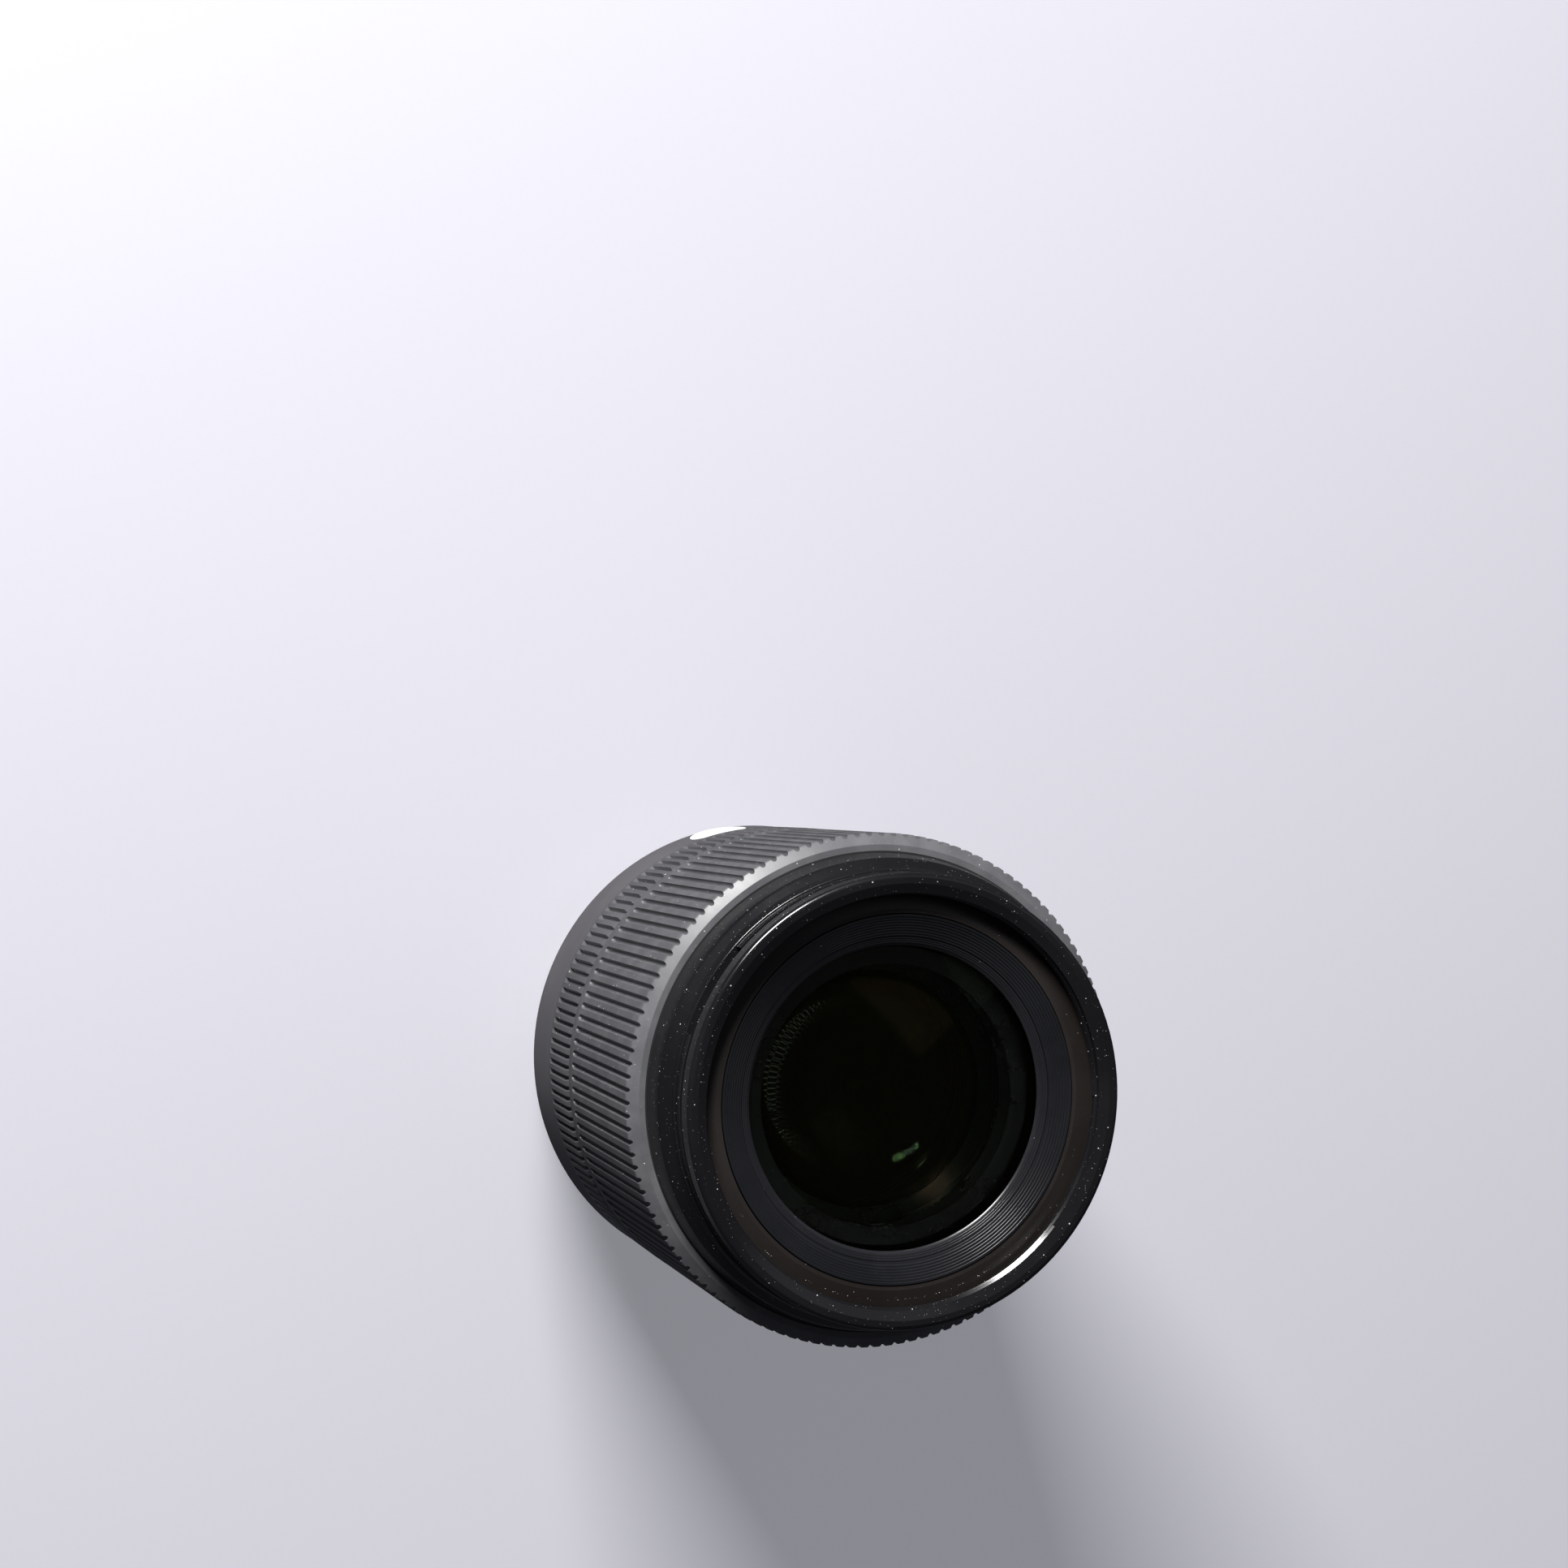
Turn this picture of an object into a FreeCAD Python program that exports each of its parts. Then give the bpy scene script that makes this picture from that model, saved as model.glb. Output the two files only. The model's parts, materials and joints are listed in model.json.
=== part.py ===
# Camera lens: a fast normal lens that stands on its mount, front glass up, in millimetres
import FreeCAD, Part
import math
import os

os.makedirs("parts", exist_ok=True)

# Lengths of the outside, from the front rim back
throat_depth = 5.0
front_barrel_length = 10.8
shoulder_length = 1.2
groove_length = 27.0
ring_rear_rim = 2.0
band_length = 10.3
rear_edge_to_flange = 13.0
neck_length = 9.0

# Clearances
fit_gap = 0.05
running_gap = 0.05
ring_end_gap = 0.2
parting_gap = 0.4
hole_gap = 0.05
cut_margin = 1.0
weld = 0.5

# Small roundings that several pieces share
edge_rounding = 0.3
fine_rounding = 0.2

# Edge radii of the glass and how much of the edge each seat covers
front_glass_radius = 19.65
second_glass_radius = 17.45
doublet_radius = 15.15
middle_glass_radius = 12.7
focus_glass_radius = 12.4
eighth_glass_radius = 13.4
last_glass_radius = 15.2
seat_cover = 1.3
ring_cover = 1.15
front_cover = 0.8
slim_cover = 0.6
wide_cover = 2.5

# Front cell: stepped cone, retaining ring, flange and the posts that carry the front barrel
cell_cone_depth = 2.8
cell_cone_drop = 0.9
cell_cone_steps = 9
cell_cone_width = 2.8
retainer_lip = 0.5
retainer_skirt = 2.6
retainer_drop = 0.4
retainer_steps = 3
retainer_gap = 0.1
cell_flange_thickness = 1.6
cell_tube_wall = 1.8
cell_tube_slope = 1.0
cell_tail_flange = 1.6
cell_relief = 0.6
post_radius = 1.2
post_gap = 0.1
post_count = 3
post_angle = 30.0
retainer_radius = front_glass_radius + retainer_lip
cell_outer_radius = retainer_radius + cell_cone_width
cell_tube_radius = second_glass_radius + fit_gap + cell_tube_wall

# Iris
blade_count = 9
blade_thickness = 0.08
blade_pitch = 0.13
blade_inner_radius = 11.8
blade_width = 5.2
blade_heel_angle = 4.0
blade_span = 112.0
blade_swing = 42.0
pivot_offset = 1.6
pivot_pin_radius = 0.4
pivot_pin_length = 0.65
pin_eye_wall = 0.55
drive_arm = 3.0
drive_pin_radius = 0.35
pin_end_gap = 0.05
slot_gap = 0.07
slot_spare = 1.0
slot_steps = 12
blade_hide = 0.2
iris_floor = 1.2
iris_cover_thickness = 0.8
iris_cover_inset = 0.6
iris_wall = 1.9
iris_ring_inset = 1.3
iris_ring_thickness = 0.8
iris_ring_turn = 22.0
iris_layer_gap = 0.15
blade_outer_radius = blade_inner_radius + blade_width
pivot_circle = blade_outer_radius + pivot_offset
iris_opening = blade_inner_radius - blade_hide
iris_ring_inner = iris_opening + iris_ring_inset

# Furthest reach of the slots, where the drive pins are when the blades have swung
full_swing = math.radians(blade_swing + slot_spare - 90.0)
drive_pin_x = pivot_circle + drive_arm * math.cos(full_swing)
drive_pin_reach = math.hypot(drive_pin_x, drive_arm * math.sin(full_swing))
slot_reach = drive_pin_reach + drive_pin_radius + slot_gap

# Iris gears and motor
tooth_module = 0.3
iris_ring_web = 0.9
pinion_teeth = 12
tooth_root_share = 0.5
tooth_tip_share = 0.24
tooth_addendum = 0.8
tooth_dedendum = 1.25
tooth_room = 0.3
tooth_shelter = 0.11
toothless_margin = 6.0
iris_motor_angle = 180.0
iris_motor_radius = 2.6
iris_motor_length = 8.0
iris_motor_tail_radius = 1.3
iris_motor_tail_length = 0.6
motor_shaft_radius = 0.45
iris_ring_teeth = math.ceil(2 * (slot_reach + iris_ring_web + tooth_dedendum * tooth_module) / tooth_module)
pitch_radius = tooth_module * iris_ring_teeth / 2
pinion_pitch_radius = tooth_module * pinion_teeth / 2
pinion_circle = pitch_radius + pinion_pitch_radius
tooth_tip = tooth_addendum * tooth_module
tooth_root = tooth_dedendum * tooth_module
iris_ring_outer = pitch_radius + tooth_tip + tooth_shelter
iris_wall_outer = iris_ring_outer + running_gap + iris_wall

# Lip and filter thread
thread_lead_in = 0.5
thread_length = 2.2
relief_depth = 0.55
lip_step = 1.2
lip_wall = 1.25
lip_rounding = 0.6

# Hood bayonet behind the lip
lip_height = 2.5
hood_groove_length = 2.7
hood_groove_depth = 1.0
hood_lug_sink = 0.1
hood_lug_length = 1.7
hood_lug_angle = 95.0
hood_lug_count = 3
hood_lug_middle = 90.0
collar_step = 0.15
collar_length = 1.1
flare_length = 1.4
flare_step = 0.5
flare_rounding = 1.0
front_barrel_step = 1.8

# Focus ring, which swells towards the front
rear_edge_step = 0.1
ring_swell = 2.25
ring_face_step = 0.9
crest_height = 0.35
groove_count = 125
groove_depth = 0.45
groove_share = 0.42
sleeve_wall = 1.3
rear_rim_rounding = 0.4
encoder_depth = 0.4
encoder_thickness = 0.25
encoder_length = 3.0
encoder_from_front = 14.0

# Rear barrel, with the main barrel inside it
cell_room = 4.25
motor_room = 0.3
rear_barrel_wall = 1.25
main_wall = 1.6
ledge_width = 2.2
ledge_slope = 1.5
front_ledge_thickness = 1.5
ear_thickness = 2.0
ear_reach = 2.6
ear_width = 5.0
ear_count = 3
ear_angle = 30.0
ear_above_edge = 0.5
lug_angle = 90.0
neck_step = 1.6
neck_wall = 2.3
neck_rounding = 1.0
neck_foot_step = 0.4
rear_flange_thickness = 2.5
boss_radius = 1.8
boss_inset = 1.7
boss_length = 6.0
rear_flange_reach = 2.5

# The tube clears the front cell with its trim ring and thread, and the iris motor
main_bore = max(cell_outer_radius + cell_room, pinion_circle + iris_motor_radius + motor_room)
main_outer_radius = main_bore + main_wall
rear_edge_radius = main_outer_radius + fit_gap + rear_barrel_wall
ring_front_radius = rear_edge_radius + ring_swell
front_barrel_radius = rear_edge_radius - rear_edge_step
ring_face_radius = front_barrel_radius + ring_face_step
flare_radius = front_barrel_radius - flare_step
rim_radius = front_barrel_radius - front_barrel_step
collar_radius = rim_radius + collar_step
hood_groove_radius = rim_radius - hood_groove_depth
hood_lug_radius = rim_radius - hood_lug_sink
lip_inner_radius = rim_radius - lip_wall
thread_radius = lip_inner_radius - lip_step
relief_radius = thread_radius + relief_depth

# Radii that follow the tube, inside and behind it
front_ledge_radius = main_bore - ledge_width
boss_circle = main_bore - boss_inset
neck_radius = rear_edge_radius - neck_step
neck_bore_radius = neck_radius - neck_wall
rear_flange_bore = boss_circle - rear_flange_reach
barrel_shelf_bore = main_bore - seat_cover
post_circle = barrel_shelf_bore - post_gap - post_radius

# Ribbed grip band on the rear barrel
flute_count = 142
flute_depth = 0.45
flute_share = 0.6
band_step = 0.15
band_chamfer = 1.3
band_chamfer_inset = 0.15
band_seat_wall = 0.7
band_seat_radius = main_outer_radius + fit_gap + band_seat_wall

# Badge in the middle of the smooth stretch, and the index dot near the mount
badge_margin = 0.4
badge_thickness = 0.6
badge_proud = 0.1
badge_angle = 102.0
index_radius = 0.9
index_thickness = 0.4
index_angle = 90.0
index_above_mount = 3.0
plug_reach = 3.0

# Trim ring between the cone and the thread
trim_depth = 3.4
trim_rise = 0.6
trim_land = 0.5
trim_thickness = 1.2
trim_gap = 0.15
trim_shelf_thickness = 1.5
trim_shelf_inset = 0.3
trim_outer_radius = relief_radius - fit_gap
trim_inner_radius = cell_outer_radius + trim_gap
trim_shelf_radius = trim_inner_radius + trim_shelf_inset

# Bayonet mount
mount_bore_radius = 21.0
mount_neck_wall = 1.4
mount_flange_thickness = 2.0
mount_outer_radius = 26.0
claw_reach = 1.6
claw_thickness = 1.4
claw_height = 1.4
claw_angle = 60.0
claw_count = 3
claw_middle = 60.0
lock_hole_radius = 1.1
lock_hole_depth = 1.2
lock_hole_angle = 135.0
mount_screw_count = 4
mount_screw_angle = 0.0
mount_neck_radius = mount_bore_radius + mount_neck_wall
claw_radius = mount_neck_radius + claw_reach
flange_hole_circle = (mount_neck_radius + mount_outer_radius) / 2
neck_foot_radius = mount_outer_radius + neck_foot_step

# Throat: light baffle, contact block and pins
baffle_wall = 1.2
baffle_gap = 0.2
baffle_rim_z = 1.2
baffle_plate = 1.2
baffle_window_x = 26.0
baffle_window_y = 20.0
baffle_window_rounding = 2.5
block_thickness = 2.35
block_angle = 76.0
block_middle = 270.0
block_rim_z = 0.8
pin_count = 10
pin_radius = 0.55
pin_spacing = 6.8
pin_proud = 0.2
pin_length = 1.6
block_outer_radius = mount_bore_radius - fit_gap
block_inner_radius = block_outer_radius - block_thickness
baffle_radius = block_inner_radius - baffle_gap
baffle_flange_radius = rear_flange_bore - baffle_gap
pin_circle = (block_inner_radius + block_outer_radius) / 2

# Rims of the glass: lengths along the axis, with what lies between them
front_glass_depth = 4.58
front_glass_rim = 4.35
front_web = 3.8
second_glass_rim = 2.5
second_ring_height = 1.8
doublet_gap = 0.8
doublet_shelf = 0.6
doublet_front_rim = 1.4
doublet_rear_rim = 5.9
doublet_ring_height = 1.5
cell_tail = 0.7

# Curves of the glass, front and rear, positive where it bulges to the front
curve_1_front = 110.0
curve_1_rear = 140.0
curve_2_front = 38.0
curve_2_rear = 60.0
curve_3_front = 28.0
curve_3_joint = -40.0
curve_4_rear = 45.0
curve_5_front = -30.0
curve_5_joint = 34.0
curve_6_rear = -60.0
curve_7_front = 45.0
curve_7_rear = -90.0
curve_8_front = -25.0
curve_8_rear = 80.0
curve_9_front = 35.0
curve_9_rear = -70.0

# Middle cell behind the iris
middle_web = 1.2
middle_front_rim = 5.46
middle_rear_rim = 0.64
middle_ring_height = 1.3
middle_wall = 1.65
middle_plate = 1.0
middle_plate_gap = 1.0
middle_bore = middle_glass_radius + fit_gap
middle_outer_radius = middle_bore + middle_wall

# Focus drive
focus_travel = 3.6
travel_end_gap = 1.0
focus_glass_above_plate = 6.6
focus_glass_rim = 1.4
carriage_wall = 1.75
carriage_web = 1.2
carriage_top = 1.4
rod_radius = 1.0
rod_inset = 6.7
rod_angle = 45.0
rod_clearance = 0.03
rod_socket = 0.9
sleeve_wall_on_rod = 1.0
sleeve_below = 3.6
sleeve_above = 4.5
arm_width = 3.4
fork_width = 4.0
fork_reach = 2.0
arm_height = 3.0
arm_above_base = 0.6
column_gap = 0.4
column_depth = 1.6
screw_angle = 0.0
focus_motor_gap = 0.7
screw_radius = 0.8
screw_end_gap = 0.1
nut_wall = 0.65
nut_length = 3.4
nut_grip_wall = 1.0
nut_grip_inset = 0.4
focus_motor_radius = 3.0
focus_motor_length = 7.0
focus_motor_socket = 2.0
nut_above_motor = 1.2
rod_circle = main_bore - rod_inset
screw_circle = main_bore - focus_motor_gap - focus_motor_radius
middle_plate_radius = rod_circle - rod_radius - middle_plate_gap
nut_bore_radius = screw_radius + running_gap
nut_radius = nut_bore_radius + nut_wall

# Rear cell
rear_plate_above_flange = 17.0
rear_plate_thickness = 2.0
rear_tube_wall = 1.55
rear_tube_above = 3.0
rear_tube_tail = 1.0
eighth_recess = 1.0
eighth_rim = 5.4
last_seat_web = 1.1
rear_web = 4.2
last_glass_rim = 3.0
last_ring_height = 1.8
notch_gap = 0.5
rear_tube_radius = last_glass_radius + fit_gap + rear_tube_wall

# Circuit board, its posts and the cable
board_thickness = 1.2
board_above_flange = 9.0
board_inner_gap = 0.4
board_outer_gap = 0.8
board_boss_gap = 0.4
board_post_count = 3
board_post_angle = 0.0
board_post_inset = 3.6
board_post_radius = 1.4
board_pin_radius = 0.6
board_pin_tip = 0.3
cable_width = 8.0
cable_thickness = 0.25
cable_inset = 1.2
cable_way_gap = 0.5
board_inner_radius = rear_tube_radius + board_inner_gap
board_outer_radius = neck_bore_radius - board_outer_gap
board_post_circle = board_inner_radius + board_post_inset
cable_radius = mount_bore_radius - cable_inset

# Sensor for the focus ring, in a window of the main barrel
sensor_angle = 270.0
sensor_width = 6.0
sensor_height = 4.0
sensor_sink = 0.3
sensor_reach = 1.5
sensor_bed_thickness = 0.8
sensor_bed_margin = 1.0

# Screws
slot_share = 0.3
screw_head_radius = 1.0
screw_head_height = 0.6
screw_shank_radius = 0.5
front_screw_bite = 3.0
cell_screw_head = 0.9
cell_screw_bite = 1.1
barrel_screw_bite = 4.0
rear_cell_screw_bite = 1.6
mount_screw_head = 1.3
mount_screw_head_height = 1.0
mount_screw_shank = 0.7
mount_screw_bite = 2.0
small_screw_head = 0.8
small_screw_head_height = 0.3
small_screw_shank = 0.4
iris_screw_count = 3
iris_screw_angle = 15.0
iris_screw_bite = 1.2
middle_screw_count = 3
middle_screw_angle = 20.0
middle_screw_bite = 0.8
iris_screw_circle = (iris_ring_outer + running_gap + iris_wall_outer) / 2
middle_screw_circle = (middle_outer_radius + middle_plate_radius) / 2
cell_screw_circle = main_bore - ledge_width / 2
rear_cell_screw_circle = main_bore - ear_reach / 2

# Levels from the flange up through the rear cell and the focus group
flange_z = throat_depth
mount_top_z = flange_z + mount_flange_thickness
baffle_top_z = mount_top_z + baffle_plate
neck_z = flange_z + neck_length
rear_edge_z = flange_z + rear_edge_to_flange
main_rear_z = rear_edge_z + ear_above_edge
board_z = flange_z + board_above_flange
board_top_z = board_z + board_thickness
rear_plate_z = flange_z + rear_plate_above_flange
rear_plate_top_z = rear_plate_z + rear_plate_thickness
eighth_glass_z = rear_plate_top_z + rear_tube_above - eighth_recess
eighth_seat_z = eighth_glass_z - eighth_rim
last_glass_z = eighth_seat_z - rear_web
last_rear_z = last_glass_z - last_glass_rim
rear_cell_z = last_rear_z - last_ring_height - rear_tube_tail
focus_motor_top_z = rear_plate_top_z + focus_motor_length
nut_z = focus_motor_top_z + nut_above_motor
focus_glass_z = rear_plate_top_z + focus_glass_above_plate
focus_front_z = focus_glass_z + focus_glass_rim
carriage_top_z = focus_front_z + carriage_top

# Levels of the middle group and the iris, above the carriage at full travel
middle_cell_rear_z = carriage_top_z + focus_travel + travel_end_gap
middle_rear_z = middle_cell_rear_z + middle_ring_height
middle_joint_z = middle_rear_z + middle_rear_rim
middle_glass_z = middle_joint_z + middle_front_rim
iris_floor_z = middle_glass_z + middle_web
iris_floor_top_z = iris_floor_z + iris_floor
blade_z = iris_floor_top_z + iris_layer_gap
blade_stack = (blade_count - 1) * blade_pitch + blade_thickness
iris_ring_z = blade_z + blade_stack + iris_layer_gap
iris_ring_top_z = iris_ring_z + iris_ring_thickness
iris_cover_z = iris_ring_top_z + iris_layer_gap

# Levels of the front cell, up to the front rim
cell_rear_z = iris_cover_z + iris_cover_thickness
doublet_rear_z = cell_rear_z + cell_tail + doublet_ring_height
doublet_joint_z = doublet_rear_z + doublet_rear_rim
doublet_z = doublet_joint_z + doublet_front_rim
second_ring_z = doublet_z + doublet_gap
second_glass_seat_z = second_ring_z + second_ring_height
second_glass_z = second_glass_seat_z + second_glass_rim
front_glass_seat_z = second_glass_z + front_web
front_glass_z = front_glass_seat_z + front_glass_rim
front_z = front_glass_z + front_glass_depth
cone_top_z = front_z - cell_cone_depth
retainer_top_z = cone_top_z - cell_cone_drop
retainer_skirt_z = retainer_top_z - retainer_skirt

# Levels of the outside, from the front rim back
trim_top_z = front_z - trim_depth
trim_seat_z = trim_top_z - trim_thickness
shelf_z = trim_seat_z - trim_shelf_thickness
front_barrel_z = front_z - front_barrel_length
ledge_top_z = front_barrel_z - cell_flange_thickness
ledge_z = ledge_top_z - front_ledge_thickness
ring_front_z = front_barrel_z - ring_end_gap
groove_front_z = ring_front_z - shoulder_length
groove_rear_z = groove_front_z - groove_length
ring_rear_z = groove_rear_z - ring_rear_rim
band_front_z = ring_rear_z - parting_gap
band_rear_z = band_front_z - band_length
encoder_middle_z = ring_front_z - encoder_from_front

# The outside tapers evenly from the grooves' front to the rear edge
taper = (ring_front_radius - rear_edge_radius) / (groove_front_z - rear_edge_z)


def outside_radius(z):
    return rear_edge_radius + taper * (z - rear_edge_z)


def place(radius, angle, z=0.0):
    turn = math.radians(angle)
    return FreeCAD.Vector(radius * math.cos(turn), radius * math.sin(turn), z)


def turned_about(shape, angle, centre=FreeCAD.Vector(0, 0, 0)):
    copy = shape.copy()
    copy.rotate(centre, FreeCAD.Vector(0, 0, 1), angle)
    return copy


def spread(count, first=0.0):
    return [first + index * 360.0 / count for index in range(count)]


def repeated(shape, count, first=0.0):
    return [turned_about(shape, angle) for angle in spread(count, first)]


def cylinder(radius, low, high, x=0.0, y=0.0):
    return Part.makeCylinder(radius, high - low, FreeCAD.Vector(x, y, low))


def cylinder_at(radius, circle, angle, low, high):
    centre = place(circle, angle)
    return cylinder(radius, low, high, centre.x, centre.y)


def ring(inner, outer, low, high):
    return cylinder(outer, low, high).cut(cylinder(inner, low, high))


def block(length_x, length_y, low, high, x=0.0, y=0.0):
    corner = FreeCAD.Vector(x - length_x / 2, y - length_y / 2, low)
    return Part.makeBox(length_x, length_y, high - low, corner)


def arm(width, inner, outer, low, high, angle):
    bar = Part.makeBox(outer - inner, width, high - low, FreeCAD.Vector(inner, -width / 2, low))
    return turned_about(bar, angle)


# A corner of an outline is (radius, height) or (radius, height, rounding)
def rounded_edges(corners):
    count = len(corners)
    arcs = []
    for index, corner in enumerate(corners):
        here = FreeCAD.Vector(corner[0], 0, corner[1])
        if len(corner) < 3:
            arcs.append((here, None, here))
            continue
        before = corners[index - 1]
        after = corners[(index + 1) % count]
        back = (FreeCAD.Vector(before[0], 0, before[1]) - here).normalize()
        ahead = (FreeCAD.Vector(after[0], 0, after[1]) - here).normalize()
        half = back.getAngle(ahead) / 2
        reach = corner[2] / math.tan(half)
        middle = (back + ahead).normalize() * (corner[2] / math.sin(half) - corner[2])
        arcs.append((here + back * reach, here + middle, here + ahead * reach))
    edges = []
    for index, (start, middle, end) in enumerate(arcs):
        if middle is not None:
            edges.append(Part.Arc(start, middle, end).toShape())
        following = arcs[(index + 1) % count][0]
        if (following - end).Length > 1e-6:
            edges.append(Part.LineSegment(end, following).toShape())
    return edges


def revolved(edges, angle=360.0):
    face = Part.Face(Part.Wire(edges))
    return face.revolve(FreeCAD.Vector(0, 0, 0), FreeCAD.Vector(0, 0, 1), angle)


def turned(corners, angle=360.0):
    return revolved(rounded_edges(corners), angle)


def sector(inner, outer, low, high, middle, width):
    corners = [(inner, low), (outer, low), (outer, high), (inner, high)]
    return turned_about(turned(corners, width), middle - width / 2)


def sag(curve, radius):
    return math.copysign(abs(curve) - math.sqrt(curve * curve - radius * radius), curve)


# A positive curve bulges towards the front; the flat rims lie at the given heights
def lens(edge, front_z_at_rim, front_clear, front_curve, rear_z_at_rim, rear_clear, rear_curve):
    def point(radius, rim_z, clear, curve):
        return FreeCAD.Vector(radius, 0, rim_z + sag(curve, clear) - sag(curve, radius))

    front = [point(share * front_clear, front_z_at_rim, front_clear, front_curve) for share in (0, 0.5, 1)]
    rear = [point(share * rear_clear, rear_z_at_rim, rear_clear, rear_curve) for share in (1, 0.5, 0)]
    corners = [front[2]]
    if edge - front_clear > 1e-6:
        corners.append(FreeCAD.Vector(edge, 0, front_z_at_rim))
    if edge - rear_clear > 1e-6:
        corners.append(FreeCAD.Vector(edge, 0, rear_z_at_rim))
    corners.append(rear[0])
    edges = [Part.Arc(*front).toShape()]
    edges += [Part.LineSegment(a, b).toShape() for a, b in zip(corners, corners[1:])]
    edges.append(Part.Arc(*rear).toShape())
    edges.append(Part.LineSegment(rear[2], front[0]).toShape())
    return revolved(edges)


# A ring of grooves: the lands are arcs on the crest circle, each groove is one hollow arc
def grooved_outline(crest, depth, count, share, z):
    pitch = 360.0 / count
    half_land = pitch * (1 - share) / 2
    edges = []
    for index in range(count):
        middle = index * pitch
        land_start = place(crest, middle - half_land, z)
        land_end = place(crest, middle + half_land, z)
        edges.append(Part.Arc(land_start, place(crest, middle, z), land_end).toShape())
        bottom = place(crest - depth, middle + pitch / 2, z)
        next_land = place(crest, middle + pitch - half_land, z)
        edges.append(Part.Arc(land_end, bottom, next_land).toShape())
    return Part.Wire(edges)


def grooved_ring(inner, depth, count, share, low, high):
    outlines = [
        grooved_outline(outside_radius(low), depth, count, share, low),
        grooved_outline(outside_radius(high), depth, count, share, high),
    ]
    return Part.makeLoft(outlines, True, True).cut(cylinder(inner, low, high))


def screw(head_radius, head_height, shank_radius, length, circle, angle, head_z, up=False):
    head_end = head_z + head_height if up else head_z - head_height
    tip = head_z + length if up else head_z - length
    head = cylinder_at(head_radius, circle, angle, min(head_z, head_end), max(head_z, head_end))
    shank = cylinder_at(shank_radius, circle, angle, min(head_end, tip), max(head_end, tip))
    slot = arm(head_radius * slot_share, -head_radius, head_radius, 0, head_height / 2, angle)
    slot.translate(place(circle, angle, head_z if up else head_z - head_height / 2))
    return head.fuse(shank).cut(slot).removeSplitter()


def screw_hole(head_radius, head_height, shank_radius, length, circle, angle, head_z, up=False):
    sign = 1 if up else -1
    head_end = head_z + sign * head_height
    tip = head_z + sign * length
    head = cylinder_at(head_radius + hole_gap, circle, angle, min(head_z, head_end), max(head_z, head_end))
    return head.fuse(cylinder_at(shank_radius, circle, angle, min(head_z, tip), max(head_z, tip)))


# Filter thread, lip, hood bayonet and the flared front barrel, turned as one piece
def make_front_barrel():
    groove_top = front_z - lip_height
    groove_bottom = groove_top - hood_groove_length
    collar_bottom = groove_bottom - collar_length
    flare_bottom = collar_bottom - flare_length
    thread_top = front_z - thread_lead_in
    thread_bottom = thread_top - thread_length
    body = turned([
        (lip_inner_radius, front_z, edge_rounding),
        (rim_radius, front_z, lip_rounding),
        (rim_radius, groove_top),
        (hood_groove_radius, groove_top),
        (hood_groove_radius, groove_bottom),
        (collar_radius, groove_bottom, fine_rounding),
        (collar_radius, collar_bottom, flare_rounding),
        (flare_radius, flare_bottom, flare_rounding),
        (front_barrel_radius, front_barrel_z),
        (barrel_shelf_bore, front_barrel_z),
        (barrel_shelf_bore, shelf_z),
        (trim_shelf_radius, shelf_z),
        (trim_shelf_radius, trim_seat_z),
        (relief_radius, trim_seat_z),
        (relief_radius, thread_bottom),
        (thread_radius, thread_bottom),
        (thread_radius, thread_top),
    ])
    lug_root = hood_groove_radius - weld
    lug = sector(lug_root, hood_lug_radius, groove_bottom, groove_bottom + hood_lug_length,
                 hood_lug_middle, hood_lug_angle)
    for piece in repeated(lug, hood_lug_count):
        body = body.fuse(piece)
    for hole in front_screw_holes():
        body = body.cut(hole)
    return body.removeSplitter()


def front_screw_angles():
    return spread(post_count, post_angle)


def front_screw_sizes():
    length = trim_shelf_thickness + front_screw_bite
    return screw_head_radius, screw_head_height, screw_shank_radius, length


def front_screw_holes():
    sizes = front_screw_sizes()
    return [screw_hole(*sizes, post_circle, angle, trim_seat_z) for angle in front_screw_angles()]


def make_front_screws():
    sizes = front_screw_sizes()
    screws = [screw(*sizes, post_circle, angle, trim_seat_z) for angle in front_screw_angles()]
    return Part.makeCompound(screws)


# Bare ring that hides the screws and carries no lettering
def make_front_trim_ring():
    return turned([
        (trim_inner_radius, trim_seat_z),
        (trim_outer_radius, trim_seat_z),
        (trim_outer_radius, trim_top_z),
        (trim_inner_radius + trim_land, trim_top_z + trim_rise),
        (trim_inner_radius, trim_top_z + trim_rise),
    ])


# Stair of small rings that kills stray light, from the outside in
def stair(outer, inner, top, drop, steps):
    corners = []
    for step in range(steps):
        radius = outer + (inner - outer) * (step + 1) / steps
        level = top - drop * step / steps
        corners.append((radius, level))
        corners.append((radius, level - drop / steps))
    return corners


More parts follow.
